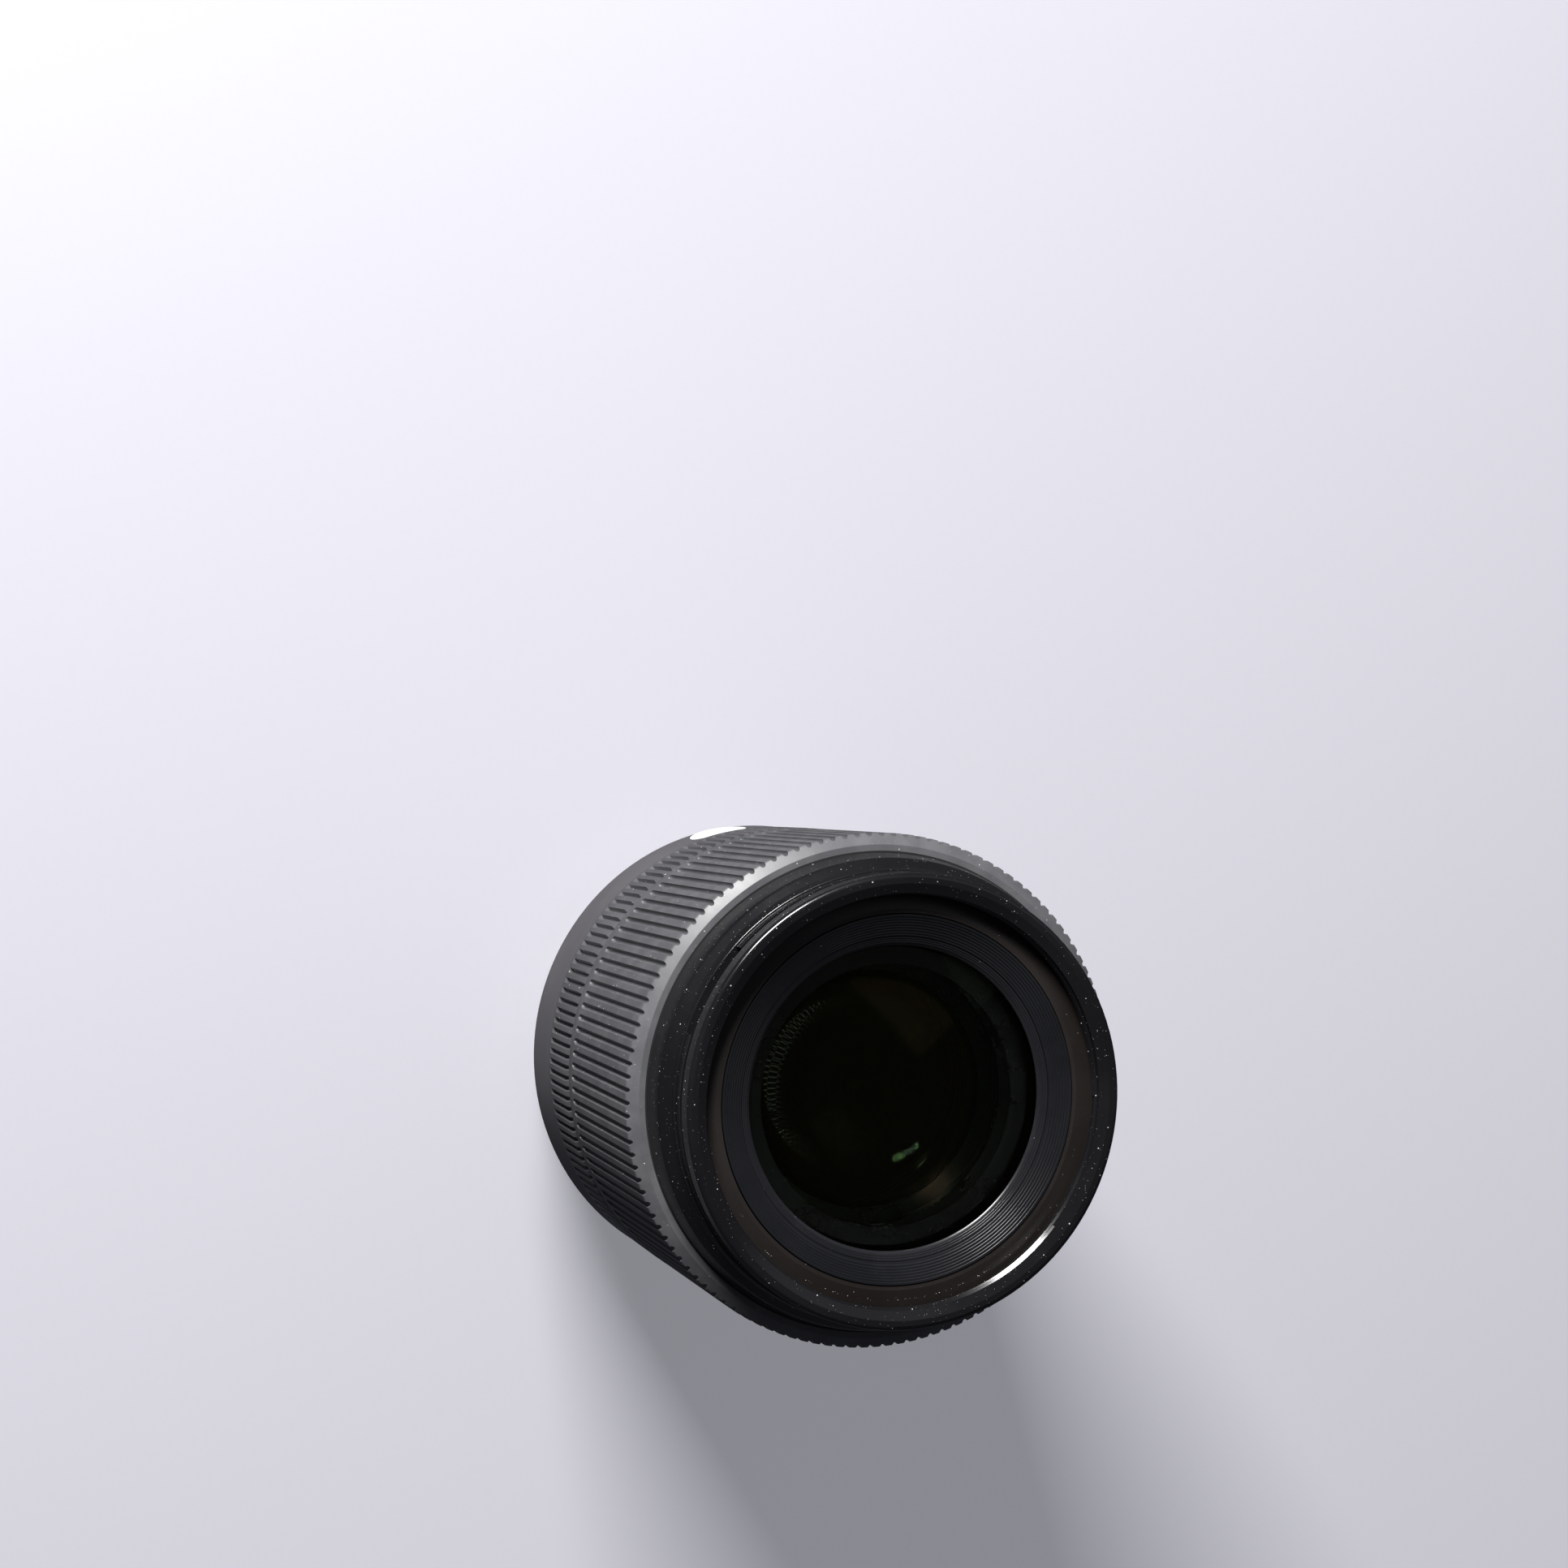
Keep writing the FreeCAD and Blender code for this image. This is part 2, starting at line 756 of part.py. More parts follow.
def make_front_cell():
    cone_bore = retainer_radius + fit_gap
    glass_bore = front_glass_radius + fit_gap
    second_bore = second_glass_radius + fit_gap
    doublet_bore = doublet_radius + fit_gap
    flange_radius = main_bore - fit_gap
    corners = [(cell_outer_radius, cone_top_z)]
    corners += stair(cell_outer_radius, cone_bore, cone_top_z, cell_cone_drop, cell_cone_steps)
    corners += [
        (cone_bore, retainer_skirt_z),
        (glass_bore, retainer_skirt_z),
        (glass_bore, front_glass_seat_z),
        (second_bore - seat_cover, front_glass_seat_z),
        (second_bore - seat_cover, second_glass_z),
        (second_bore, second_glass_z),
        (second_bore, second_ring_z),
        (doublet_bore + cell_relief, second_ring_z),
        (doublet_bore + cell_relief, doublet_z + doublet_shelf),
        (doublet_bore - seat_cover, doublet_z + doublet_shelf),
        (doublet_bore - seat_cover, doublet_z),
        (doublet_bore, doublet_z),
        (doublet_bore, cell_rear_z),
        (iris_wall_outer, cell_rear_z),
        (iris_wall_outer, cell_rear_z + cell_tail_flange),
        (cell_tube_radius, cell_rear_z + cell_tail_flange),
        (cell_tube_radius, ledge_z - cell_tube_slope),
        (cell_outer_radius, ledge_z + cell_tube_slope),
        (cell_outer_radius, ledge_top_z),
        (flange_radius, ledge_top_z),
        (flange_radius, front_barrel_z),
        (cell_outer_radius, front_barrel_z),
    ]
    body = turned(corners)
    for angle in front_screw_angles():
        body = body.fuse(cylinder_at(post_radius, post_circle, angle, front_barrel_z, shelf_z))
    for hole in front_screw_holes() + cell_screw_holes() + iris_screw_holes():
        body = body.cut(hole)
    return body.removeSplitter()


def cell_screw_sizes():
    return cell_screw_head, screw_head_height, screw_shank_radius, cell_flange_thickness + cell_screw_bite


def cell_screw_angles():
    return spread(post_count, post_angle + 180.0 / post_count)


def cell_screw_holes():
    sizes = cell_screw_sizes()
    return [screw_hole(*sizes, cell_screw_circle, angle, front_barrel_z) for angle in cell_screw_angles()]


def make_cell_screws():
    sizes = cell_screw_sizes()
    screws = [screw(*sizes, cell_screw_circle, angle, front_barrel_z) for angle in cell_screw_angles()]
    return Part.makeCompound(screws)


# Retaining rings that screw in behind or in front of the glass
def make_front_retaining_ring():
    bottom = retainer_skirt_z + retainer_gap
    inner = front_glass_radius - front_cover + retainer_gap
    corners = [(retainer_radius, retainer_top_z)]
    corners += stair(retainer_radius, inner, retainer_top_z, retainer_drop, retainer_steps)
    corners += [
        (inner, front_glass_z),
        (front_glass_radius + fit_gap, front_glass_z),
        (front_glass_radius + fit_gap, bottom),
        (retainer_radius, bottom),
    ]
    return turned(corners)


def retaining_ring(glass_radius, low, height):
    return ring(glass_radius - ring_cover, glass_radius, low, low + height)


def make_second_retaining_ring():
    return retaining_ring(second_glass_radius, second_ring_z, second_ring_height)


def make_doublet_retaining_ring():
    return retaining_ring(doublet_radius, doublet_rear_z - doublet_ring_height, doublet_ring_height)


def make_middle_retaining_ring():
    return retaining_ring(middle_glass_radius, middle_rear_z - middle_ring_height, middle_ring_height)


def make_rear_retaining_ring():
    return retaining_ring(last_glass_radius, last_rear_z - last_ring_height, last_ring_height)


# Nine glass elements in seven groups
def make_lens_elements():
    return {
        "lens_element_1": lens(front_glass_radius,
                               front_glass_z, front_glass_radius - front_cover, curve_1_front,
                               front_glass_seat_z, front_glass_radius - seat_cover, curve_1_rear),
        "lens_element_2": lens(second_glass_radius,
                               second_glass_z, second_glass_radius - seat_cover, curve_2_front,
                               second_glass_seat_z, second_glass_radius - seat_cover, curve_2_rear),
        "lens_element_3": lens(doublet_radius, doublet_z, doublet_radius - seat_cover,
                               curve_3_front, doublet_joint_z, doublet_radius, curve_3_joint),
        "lens_element_4": lens(doublet_radius, doublet_joint_z, doublet_radius,
                               curve_3_joint, doublet_rear_z, doublet_radius - wide_cover, curve_4_rear),
        "lens_element_5": lens(middle_glass_radius, middle_glass_z, middle_glass_radius - seat_cover,
                               curve_5_front, middle_joint_z, middle_glass_radius, curve_5_joint),
        "lens_element_6": lens(middle_glass_radius, middle_joint_z, middle_glass_radius,
                               curve_5_joint, middle_rear_z, middle_glass_radius - seat_cover, curve_6_rear),
        "lens_element_7": lens(focus_glass_radius, focus_front_z, focus_glass_radius - slim_cover,
                               curve_7_front, focus_glass_z, focus_glass_radius - seat_cover, curve_7_rear),
        "lens_element_8": lens(eighth_glass_radius, eighth_glass_z, eighth_glass_radius - seat_cover,
                               curve_8_front, eighth_seat_z, eighth_glass_radius - seat_cover, curve_8_rear),
        "lens_element_9": lens(last_glass_radius, last_glass_z, last_glass_radius - seat_cover,
                               curve_9_front, last_rear_z, last_glass_radius - seat_cover, curve_9_rear),
    }


# Fixed tube that everything is built on
def make_main_barrel():
    body = turned([
        (main_bore, main_rear_z),
        (main_outer_radius, main_rear_z),
        (main_outer_radius, front_barrel_z),
        (main_bore, front_barrel_z),
        (main_bore, ledge_top_z),
        (front_ledge_radius, ledge_top_z),
        (front_ledge_radius, ledge_z),
        (main_bore, ledge_z - ledge_slope),
    ])
    inner = main_bore - ear_reach
    outer = main_bore + weld
    ear = arm(ear_width, inner, outer, main_rear_z, main_rear_z + ear_thickness, ear_angle)
    lug = arm(ear_width, inner, outer, rear_plate_top_z, rear_plate_top_z + ear_thickness, lug_angle)
    for piece in repeated(ear, ear_count) + repeated(lug, ear_count):
        body = body.fuse(piece)
    for hole in cell_screw_holes() + barrel_screw_holes() + rear_cell_screw_holes():
        body = body.cut(hole)
    return body.cut(sensor_window()).removeSplitter()


# Screws down through the ears into the rear barrel
def barrel_screw_sizes():
    return screw_head_radius, screw_head_height, screw_shank_radius, ear_thickness + barrel_screw_bite


def barrel_screw_holes():
    sizes = barrel_screw_sizes()
    head_z = main_rear_z + ear_thickness
    return [screw_hole(*sizes, boss_circle, angle, head_z) for angle in spread(ear_count, ear_angle)]


def make_barrel_screws():
    sizes = barrel_screw_sizes()
    head_z = main_rear_z + ear_thickness
    screws = [screw(*sizes, boss_circle, angle, head_z) for angle in spread(ear_count, ear_angle)]
    return Part.makeCompound(screws)


# Sensor that reads the strip inside the focus ring through a window in the tube
def sensor_window():
    low = encoder_middle_z - sensor_height / 2 - fit_gap
    high = encoder_middle_z + sensor_height / 2 + fit_gap
    return arm(sensor_width + 2 * fit_gap, main_bore - cut_margin, main_outer_radius + cut_margin, low, high,
               sensor_angle)


def make_ring_sensor():
    low = encoder_middle_z - sensor_height / 2
    high = encoder_middle_z + sensor_height / 2
    inner = main_bore - sensor_reach
    outer = main_outer_radius - sensor_sink
    eye = arm(sensor_width, inner, outer, low, high, sensor_angle)
    bed = arm(sensor_width + 4 * sensor_bed_margin, inner, inner + sensor_bed_thickness,
              low - sensor_bed_margin, high + sensor_bed_margin, sensor_angle)
    room = cylinder(outer, low - sensor_bed_margin, high + sensor_bed_margin)
    return eye.fuse(bed).common(room).removeSplitter()


# Focus ring: inner sleeve, encoder strip and ribbed grip
def make_focus_sleeve():
    bore = main_outer_radius + running_gap
    outer = bore + sleeve_wall
    low = encoder_middle_z - encoder_length / 2
    high = encoder_middle_z + encoder_length / 2
    return turned([
        (bore, ring_rear_z),
        (outer, ring_rear_z),
        (outer, ring_front_z),
        (bore, ring_front_z),
        (bore, high),
        (bore + encoder_depth, high),
        (bore + encoder_depth, low),
        (bore, low),
    ])


def make_encoder_strip():
    outer = main_outer_radius + running_gap + encoder_depth
    low = encoder_middle_z - encoder_length / 2
    return ring(outer - encoder_thickness, outer, low, low + encoder_length)


def make_focus_grip():
    inner = main_outer_radius + running_gap + sleeve_wall
    shoulder = turned([
        (inner, groove_front_z),
        (outside_radius(groove_front_z), groove_front_z),
        (outside_radius(groove_front_z), groove_front_z + crest_height, edge_rounding),
        (ring_face_radius, ring_front_z, fine_rounding),
        (inner, ring_front_z),
    ])
    rim = turned([
        (inner, ring_rear_z),
        (outside_radius(ring_rear_z), ring_rear_z, rear_rim_rounding),
        (outside_radius(groove_rear_z), groove_rear_z),
        (inner, groove_rear_z),
    ])
    ribs = grooved_ring(inner, groove_depth, groove_count, groove_share, groove_rear_z, groove_front_z)
    return ribs.fuse(shoulder).fuse(rim).removeSplitter()


# Rear barrel, its ribbed band, the blank badge and the index dot
def make_rear_barrel():
    bore = main_outer_radius + fit_gap
    body = turned([
        (rear_flange_bore, mount_top_z),
        (neck_foot_radius, mount_top_z, fine_rounding),
        (neck_radius, neck_z, neck_rounding),
        (rear_edge_radius, rear_edge_z, neck_rounding),
        (outside_radius(band_rear_z) - band_step, band_rear_z),
        (band_seat_radius, band_rear_z),
        (band_seat_radius, band_front_z),
        (bore, band_front_z),
        (bore, main_rear_z),
        (neck_bore_radius, main_rear_z),
        (neck_bore_radius, mount_top_z + rear_flange_thickness),
        (rear_flange_bore, mount_top_z + rear_flange_thickness),
    ])
    for angle in spread(ear_count, ear_angle):
        body = body.fuse(cylinder_at(boss_radius, boss_circle, angle, main_rear_z - boss_length, main_rear_z))
    for hole in barrel_screw_holes() + mount_screw_holes():
        body = body.cut(hole)
    body = body.cut(badge_plug(hole_gap)).cut(index_plug(hole_gap))
    return body.removeSplitter()


def make_grip_band():
    inner = band_seat_radius + fit_gap
    front_radius = outside_radius(band_front_z)
    rear_radius = outside_radius(band_rear_z)
    ribs = grooved_ring(inner, flute_depth, flute_count, flute_share, band_rear_z, band_front_z)
    envelope = turned([
        (inner, band_rear_z),
        (rear_radius - band_step, band_rear_z),
        (rear_radius, band_rear_z + band_step),
        (front_radius, band_front_z - band_chamfer),
        (front_radius - flute_depth - band_chamfer_inset, band_front_z),
        (inner, band_front_z),
    ])
    return ribs.common(envelope).removeSplitter()


def plug(radius, surface, angle, middle):
    root = place(surface - plug_reach, angle, middle)
    return Part.makeCylinder(radius, 2 * plug_reach, root, place(1, angle))


def badge_plug(gap=0.0):
    middle = (band_rear_z + rear_edge_z) / 2
    radius = (band_rear_z - rear_edge_z) / 2 - badge_margin
    surface = outside_radius(middle) - band_step
    shell = ring(surface - badge_thickness, surface + badge_proud + gap, rear_edge_z, band_rear_z)
    return plug(radius + gap, surface, badge_angle, middle).common(shell)


def index_plug(gap=0.0):
    middle = mount_top_z + index_above_mount
    shell = turned([
        (neck_foot_radius - index_thickness, mount_top_z),
        (neck_foot_radius + gap, mount_top_z),
        (neck_radius + gap, neck_z),
        (neck_radius - index_thickness, neck_z),
    ])
    return plug(index_radius + gap, neck_radius, index_angle, middle).common(shell)


# Bayonet mount with claws, locking hole and four screws
def make_bayonet_mount():
    body = turned([
        (mount_bore_radius, 0),
        (mount_neck_radius, 0, edge_rounding),
        (mount_neck_radius, flange_z),
        (mount_outer_radius, flange_z, edge_rounding),
        (mount_outer_radius, mount_top_z),
        (mount_bore_radius, mount_top_z),
    ])
    claw = sector(mount_neck_radius - weld, claw_radius, claw_height, claw_height + claw_thickness,
                  claw_middle, claw_angle)
    for piece in repeated(claw, claw_count):
        body = body.fuse(piece)
    body = body.cut(cylinder_at(lock_hole_radius, flange_hole_circle, lock_hole_angle,
                                flange_z, flange_z + lock_hole_depth))
    for hole in mount_screw_holes():
        body = body.cut(hole)
    return body.removeSplitter()


def mount_screw_sizes():
    length = mount_flange_thickness + mount_screw_bite
    return mount_screw_head, mount_screw_head_height, mount_screw_shank, length


def mount_screw_holes():
    sizes = mount_screw_sizes()
    angles = spread(mount_screw_count, mount_screw_angle)
    return [screw_hole(*sizes, flange_hole_circle, angle, flange_z, True) for angle in angles]


def make_mount_screws():
    sizes = mount_screw_sizes()
    angles = spread(mount_screw_count, mount_screw_angle)
    return Part.makeCompound([screw(*sizes, flange_hole_circle, angle, flange_z, True) for angle in angles])


# Light baffle in the throat, cut away for the contacts
def make_rear_baffle():
    body = turned([
        (baffle_radius - baffle_wall, baffle_rim_z),
        (baffle_radius, baffle_rim_z),
        (baffle_radius, mount_top_z),
        (baffle_flange_radius, mount_top_z),
        (baffle_flange_radius, baffle_top_z),
        (baffle_radius - baffle_wall, baffle_top_z),
    ])
    low = mount_top_z - cut_margin
    high = baffle_top_z + cut_margin
    window = block(baffle_window_x, baffle_window_y, low, high)
    corners = [edge for edge in window.Edges if abs(edge.tangentAt(edge.FirstParameter).z) > 0.99]
    window = window.makeFillet(baffle_window_rounding, corners)
    disc = cylinder(baffle_radius - baffle_wall, mount_top_z, baffle_top_z).cut(window)
    cable_way = arm(cable_width + 2 * cable_way_gap, baffle_radius + baffle_gap, mount_bore_radius, low, high,
                    block_middle)
    return body.fuse(disc).cut(cable_way).removeSplitter()


def contact_pin_angles():
    first = block_middle - pin_spacing * (pin_count - 1) / 2
    return [first + index * pin_spacing for index in range(pin_count)]


def make_contact_pins():
    low = block_rim_z - pin_proud
    high = low + pin_length
    pins = [cylinder_at(pin_radius, pin_circle, angle, low, high) for angle in contact_pin_angles()]
    return Part.makeCompound(pins)


def make_contact_block():
    body = sector(block_inner_radius, block_outer_radius, block_rim_z, mount_top_z, block_middle, block_angle)
    return body.cut(make_contact_pins())


# Iris: housing, blades, drive ring, cover, motor and pinion
def iris_screw_sizes():
    length = cell_rear_z - iris_floor_z + iris_screw_bite
    return small_screw_head, screw_head_height, small_screw_shank, length


def iris_screw_holes():
    sizes = iris_screw_sizes()
    angles = spread(iris_screw_count, iris_screw_angle)
    return [screw_hole(*sizes, iris_screw_circle, angle, iris_floor_z, True) for angle in angles]


def make_iris_screws():
    sizes = iris_screw_sizes()
    angles = spread(iris_screw_count, iris_screw_angle)
    screws = [screw(*sizes, iris_screw_circle, angle, iris_floor_z, True) for angle in angles]
    return Part.makeCompound(screws)


def make_iris_housing():
    wall_bore = iris_ring_outer + running_gap
    body = turned([
        (iris_opening, iris_floor_z),
        (iris_wall_outer, iris_floor_z),
        (iris_wall_outer, iris_cover_z),
        (wall_bore, iris_cover_z),
        (wall_bore, iris_floor_top_z),
        (iris_opening, iris_floor_top_z),
    ])
    motor_ear = cylinder_at(iris_motor_radius, pinion_circle, iris_motor_angle, iris_floor_z,
                            iris_floor_top_z)
    body = body.fuse(motor_ear)
    tip_room = pinion_pitch_radius + tooth_tip + tooth_room
    body = body.cut(cylinder_at(tip_room, pinion_circle, iris_motor_angle, iris_floor_top_z, iris_cover_z))
    body = body.cut(cylinder_at(motor_shaft_radius + hole_gap, pinion_circle, iris_motor_angle,
                                iris_floor_z, iris_floor_top_z))
    for angle in spread(blade_count):
        body = body.cut(cylinder_at(pivot_pin_radius + hole_gap, pivot_circle, angle,
                                    iris_floor_top_z - pivot_pin_length, iris_floor_top_z))
    for angle in rod_angles():
        body = body.cut(cylinder_at(rod_radius, rod_circle, angle, iris_floor_z, iris_floor_z + rod_socket))
    body = body.cut(cylinder_at(screw_radius + hole_gap, screw_circle, screw_angle,
                                iris_floor_z, iris_floor_z + rod_socket))
    for hole in iris_screw_holes() + middle_screw_holes():
        body = body.cut(hole)
    return body.removeSplitter()


def make_iris_cover():
    body = ring(iris_opening + iris_cover_inset, iris_wall_outer, iris_cover_z, cell_rear_z)
    for hole in iris_screw_holes():
        body = body.cut(hole)
    return body


# A blade swings about its pivot pin, and the drive pin behind it rides in a slot of the ring
def blade_outline():
    start = -blade_heel_angle
    end = blade_span
    middle_radius = (blade_inner_radius + blade_outer_radius) / 2
    inner_arc = Part.Arc(place(blade_inner_radius, start), place(blade_inner_radius, end / 2),
                         place(blade_inner_radius, end)).toShape()
    tip_angle = end + math.degrees((blade_outer_radius - blade_inner_radius) / 2 / middle_radius)
    tip = Part.Arc(place(blade_inner_radius, end), place(middle_radius, tip_angle),
                   place(blade_outer_radius, end)).toShape()
    outer_arc = Part.Arc(place(blade_outer_radius, end), place(blade_outer_radius, end / 2),
                         place(blade_outer_radius, start)).toShape()
    heel = Part.LineSegment(place(blade_outer_radius, start), place(blade_inner_radius, start)).toShape()
    return Part.Face(Part.Wire([inner_arc, tip, outer_arc, heel]))


def make_iris_blade(index):
    low = blade_z + index * blade_pitch
    high = low + blade_thickness
    plate = blade_outline().extrude(FreeCAD.Vector(0, 0, blade_thickness))
    plate.translate(FreeCAD.Vector(0, 0, low))
    eye_radius = pivot_pin_radius + pin_eye_wall
    heel_radius = drive_pin_radius + pin_eye_wall
    root = blade_outer_radius - weld
    pin_foot = iris_floor_top_z - pivot_pin_length + pin_end_gap
    eye = cylinder_at(eye_radius, pivot_circle, 0, low, high)
    neck = block(pivot_circle - root, 2 * eye_radius, low, high, (pivot_circle + root) / 2, 0)
    heel_eye = cylinder(heel_radius, low, high, pivot_circle, -drive_arm)
    heel_bar = block(2 * drive_pin_radius + weld, drive_arm, low, high, pivot_circle, -drive_arm / 2)
    pivot_pin = cylinder_at(pivot_pin_radius, pivot_circle, 0, pin_foot, high)
    drive_pin = cylinder(drive_pin_radius, low, iris_ring_top_z - pin_end_gap, pivot_circle, -drive_arm)
    blade = plate
    for piece in (eye, neck, heel_eye, heel_bar, pivot_pin, drive_pin):
        blade = blade.fuse(piece)
    return turned_about(blade.removeSplitter(), index * 360.0 / blade_count)


# Where the drive pin is, seen from the ring, when the blade has swung by the given angle
def slot_point(swing):
    turn = math.radians(swing - 90.0)
    x = pivot_circle + drive_arm * math.cos(turn)
    y = drive_arm * math.sin(turn)
    ring_angle = swing * iris_ring_turn / blade_swing
    return turned_about(Part.Vertex(x, y, 0), -ring_angle).Point


def slot_tool():
    half_width = drive_pin_radius + slot_gap
    whole = blade_swing + 2 * slot_spare
    swings = [whole * step / slot_steps - slot_spare for step in range(slot_steps + 1)]
    left = []
    right = []
    for swing in swings:
        here = slot_point(swing)
        ahead = (slot_point(swing + slot_spare) - slot_point(swing - slot_spare)).normalize()
        side = FreeCAD.Vector(-ahead.y, ahead.x, 0) * half_width
        left.append(here + side)
        right.append(here - side)
    corners = left + right[::-1] + left[:1]
    strip = Part.Face(Part.makePolygon(corners)).extrude(FreeCAD.Vector(0, 0, iris_ring_thickness))
    strip.translate(FreeCAD.Vector(0, 0, iris_ring_z))
    for swing in (swings[0], swings[-1]):
        here = slot_point(swing)
        strip = strip.fuse(cylinder(half_width, iris_ring_z, iris_ring_top_z, here.x, here.y))
    return strip


# One straight-sided tooth, pointing along +X from the middle of its gear
def tooth(root, tip, low, high):
    thick = math.pi * tooth_module
    root_half = thick * tooth_root_share / 2
    tip_half = thick * tooth_tip_share / 2
    inner = root - tooth_module
    corners = [(inner, -root_half), (root, -root_half), (tip, -tip_half),
               (tip, tip_half), (root, root_half), (inner, root_half)]
    points = [FreeCAD.Vector(x, y, low) for x, y in corners]
    return Part.Face(Part.makePolygon(points + points[:1])).extrude(FreeCAD.Vector(0, 0, high - low))


def make_iris_drive_ring():
    body = ring(iris_ring_inner, iris_ring_outer, iris_ring_z, iris_ring_top_z)
    root = pitch_radius - tooth_root
    gap_width = iris_ring_turn + 2 * toothless_margin
    gap_middle = iris_motor_angle - iris_ring_turn / 2
    outer = iris_ring_outer + cut_margin
    body = body.cut(sector(root, outer, iris_ring_z, iris_ring_top_z, gap_middle, gap_width))
    tooth_angle = 360.0 / iris_ring_teeth
    one = tooth(root, pitch_radius + tooth_tip, iris_ring_z, iris_ring_top_z)
    spare = int(toothless_margin / tooth_angle) - 1
    first = -int(iris_ring_turn / tooth_angle) - spare
    teeth = [turned_about(one, iris_motor_angle + step * tooth_angle) for step in range(first, spare)]
    body = body.fuse(teeth)
    for slot in repeated(slot_tool(), blade_count):
        body = body.cut(slot)
    return body.removeSplitter()


def make_iris_pinion():
    root = pinion_pitch_radius - tooth_root
    body = cylinder(root, iris_ring_z, iris_ring_top_z)
    one = tooth(root, pinion_pitch_radius + tooth_tip, iris_ring_z, iris_ring_top_z)
    body = body.fuse(repeated(one, pinion_teeth, 180.0 / pinion_teeth))
    body = body.fuse(cylinder(motor_shaft_radius, iris_floor_z, iris_ring_top_z))
    body.translate(place(pinion_circle, iris_motor_angle))
    return body.removeSplitter()


def make_iris_motor():
    low = iris_floor_z - iris_motor_length
    body = cylinder_at(iris_motor_radius, pinion_circle, iris_motor_angle, low, iris_floor_z)
    tail_z = low - iris_motor_tail_length
    tail = cylinder_at(iris_motor_tail_radius, pinion_circle, iris_motor_angle, tail_z, low)
    return body.fuse(tail).removeSplitter()


# Middle cell under the iris
def middle_screw_sizes():
    return small_screw_head, small_screw_head_height, small_screw_shank, middle_plate + middle_screw_bite


def middle_screw_holes():
    sizes = middle_screw_sizes()
    head_z = iris_floor_z - middle_plate
    angles = spread(middle_screw_count, middle_screw_angle)
    return [screw_hole(*sizes, middle_screw_circle, angle, head_z, True) for angle in angles]


def make_middle_cell_screws():
    sizes = middle_screw_sizes()
    head_z = iris_floor_z - middle_plate
    angles = spread(middle_screw_count, middle_screw_angle)
    return Part.makeCompound([screw(*sizes, middle_screw_circle, angle, head_z, True) for angle in angles])


def make_middle_cell():
    body = turned([
        (middle_bore - ring_cover, iris_floor_z),
        (middle_plate_radius, iris_floor_z),
        (middle_plate_radius, iris_floor_z - middle_plate),
        (middle_outer_radius, iris_floor_z - middle_plate),
        (middle_outer_radius, middle_cell_rear_z),
        (middle_bore, middle_cell_rear_z),
        (middle_bore, middle_glass_z),
        (middle_bore - ring_cover, middle_glass_z),
    ])
    for hole in middle_screw_holes():
        body = body.cut(hole)
    return body.removeSplitter()


# Focus drive: two rods, a carriage with its glass, a lead screw and its nut
def rod_angles():
    return [rod_angle, rod_angle + 180.0]


def make_guide_rods():
    low = rear_plate_top_z - rod_socket
    high = iris_floor_z + rod_socket
    rods = [cylinder_at(rod_radius, rod_circle, angle, low, high) for angle in rod_angles()]
    return Part.makeCompound(rods)


def make_focus_carriage():
    bore = focus_glass_radius + fit_gap
    outer = bore + carriage_wall
    low = focus_glass_z - carriage_web
    body = turned([
        (focus_glass_radius - slim_cover, low),
        (outer, low),
        (outer, carriage_top_z),
        (bore, carriage_top_z),
        (bore, focus_glass_z),
        (focus_glass_radius - slim_cover, focus_glass_z),
    ])
    root = outer - weld
    rod_bore = rod_radius + rod_clearance
    column = middle_outer_radius + column_gap
    column_end = column + column_depth
    arm_z = low + arm_above_base
    arm_top = arm_z + arm_height
    grip_z = nut_z + nut_grip_inset
    grip_top = nut_z + nut_length - nut_grip_inset
    fork_angle = rod_angle + 180.0
    sleeve_z = focus_glass_z - sleeve_below
    sleeve_top = focus_glass_z + sleeve_above
    pieces = [
        arm(arm_width, root, rod_circle, arm_z, arm_top, rod_angle),
        cylinder_at(rod_bore + sleeve_wall_on_rod, rod_circle, rod_angle, sleeve_z, sleeve_top),
        arm(fork_width, root, rod_circle + fork_reach, arm_z, arm_top, fork_angle),
        arm(arm_width, root, column_end, arm_z, arm_top, screw_angle),
        arm(arm_width, column, column_end, arm_z, grip_top, screw_angle),
        arm(arm_width, column, screw_circle, grip_z, grip_top, screw_angle),
        cylinder_at(nut_radius + nut_grip_wall, screw_circle, screw_angle, grip_z, grip_top),
    ]
    for piece in pieces:
        body = body.fuse(piece)
    body = body.cut(cylinder(bore, focus_glass_z, grip_top + cut_margin))
    body = body.cut(cylinder_at(rod_bore, rod_circle, rod_angle, sleeve_z, sleeve_top))
    body = body.cut(arm(2 * rod_bore, rod_circle - rod_bore, rod_circle + fork_reach + cut_margin,
                        arm_z, arm_top, fork_angle))
    return body.cut(cylinder_at(nut_radius, screw_circle, screw_angle, grip_z, grip_top)).removeSplitter()


def make_drive_nut():
    body = cylinder_at(nut_radius, screw_circle, screw_angle, nut_z, nut_z + nut_length)
    return body.cut(cylinder_at(nut_bore_radius, screw_circle, screw_angle, nut_z, nut_z + nut_length))


def make_focus_motor():
    body = cylinder_at(focus_motor_radius, screw_circle, screw_angle, rear_plate_top_z, focus_motor_top_z)
    return body.cut(cylinder_at(nut_bore_radius, screw_circle, screw_angle,
                                focus_motor_top_z - focus_motor_socket, focus_motor_top_z))


def make_lead_screw():
    low = focus_motor_top_z - focus_motor_socket + screw_end_gap
    high = iris_floor_z + rod_socket - screw_end_gap
    return cylinder_at(screw_radius, screw_circle, screw_angle, low, high)


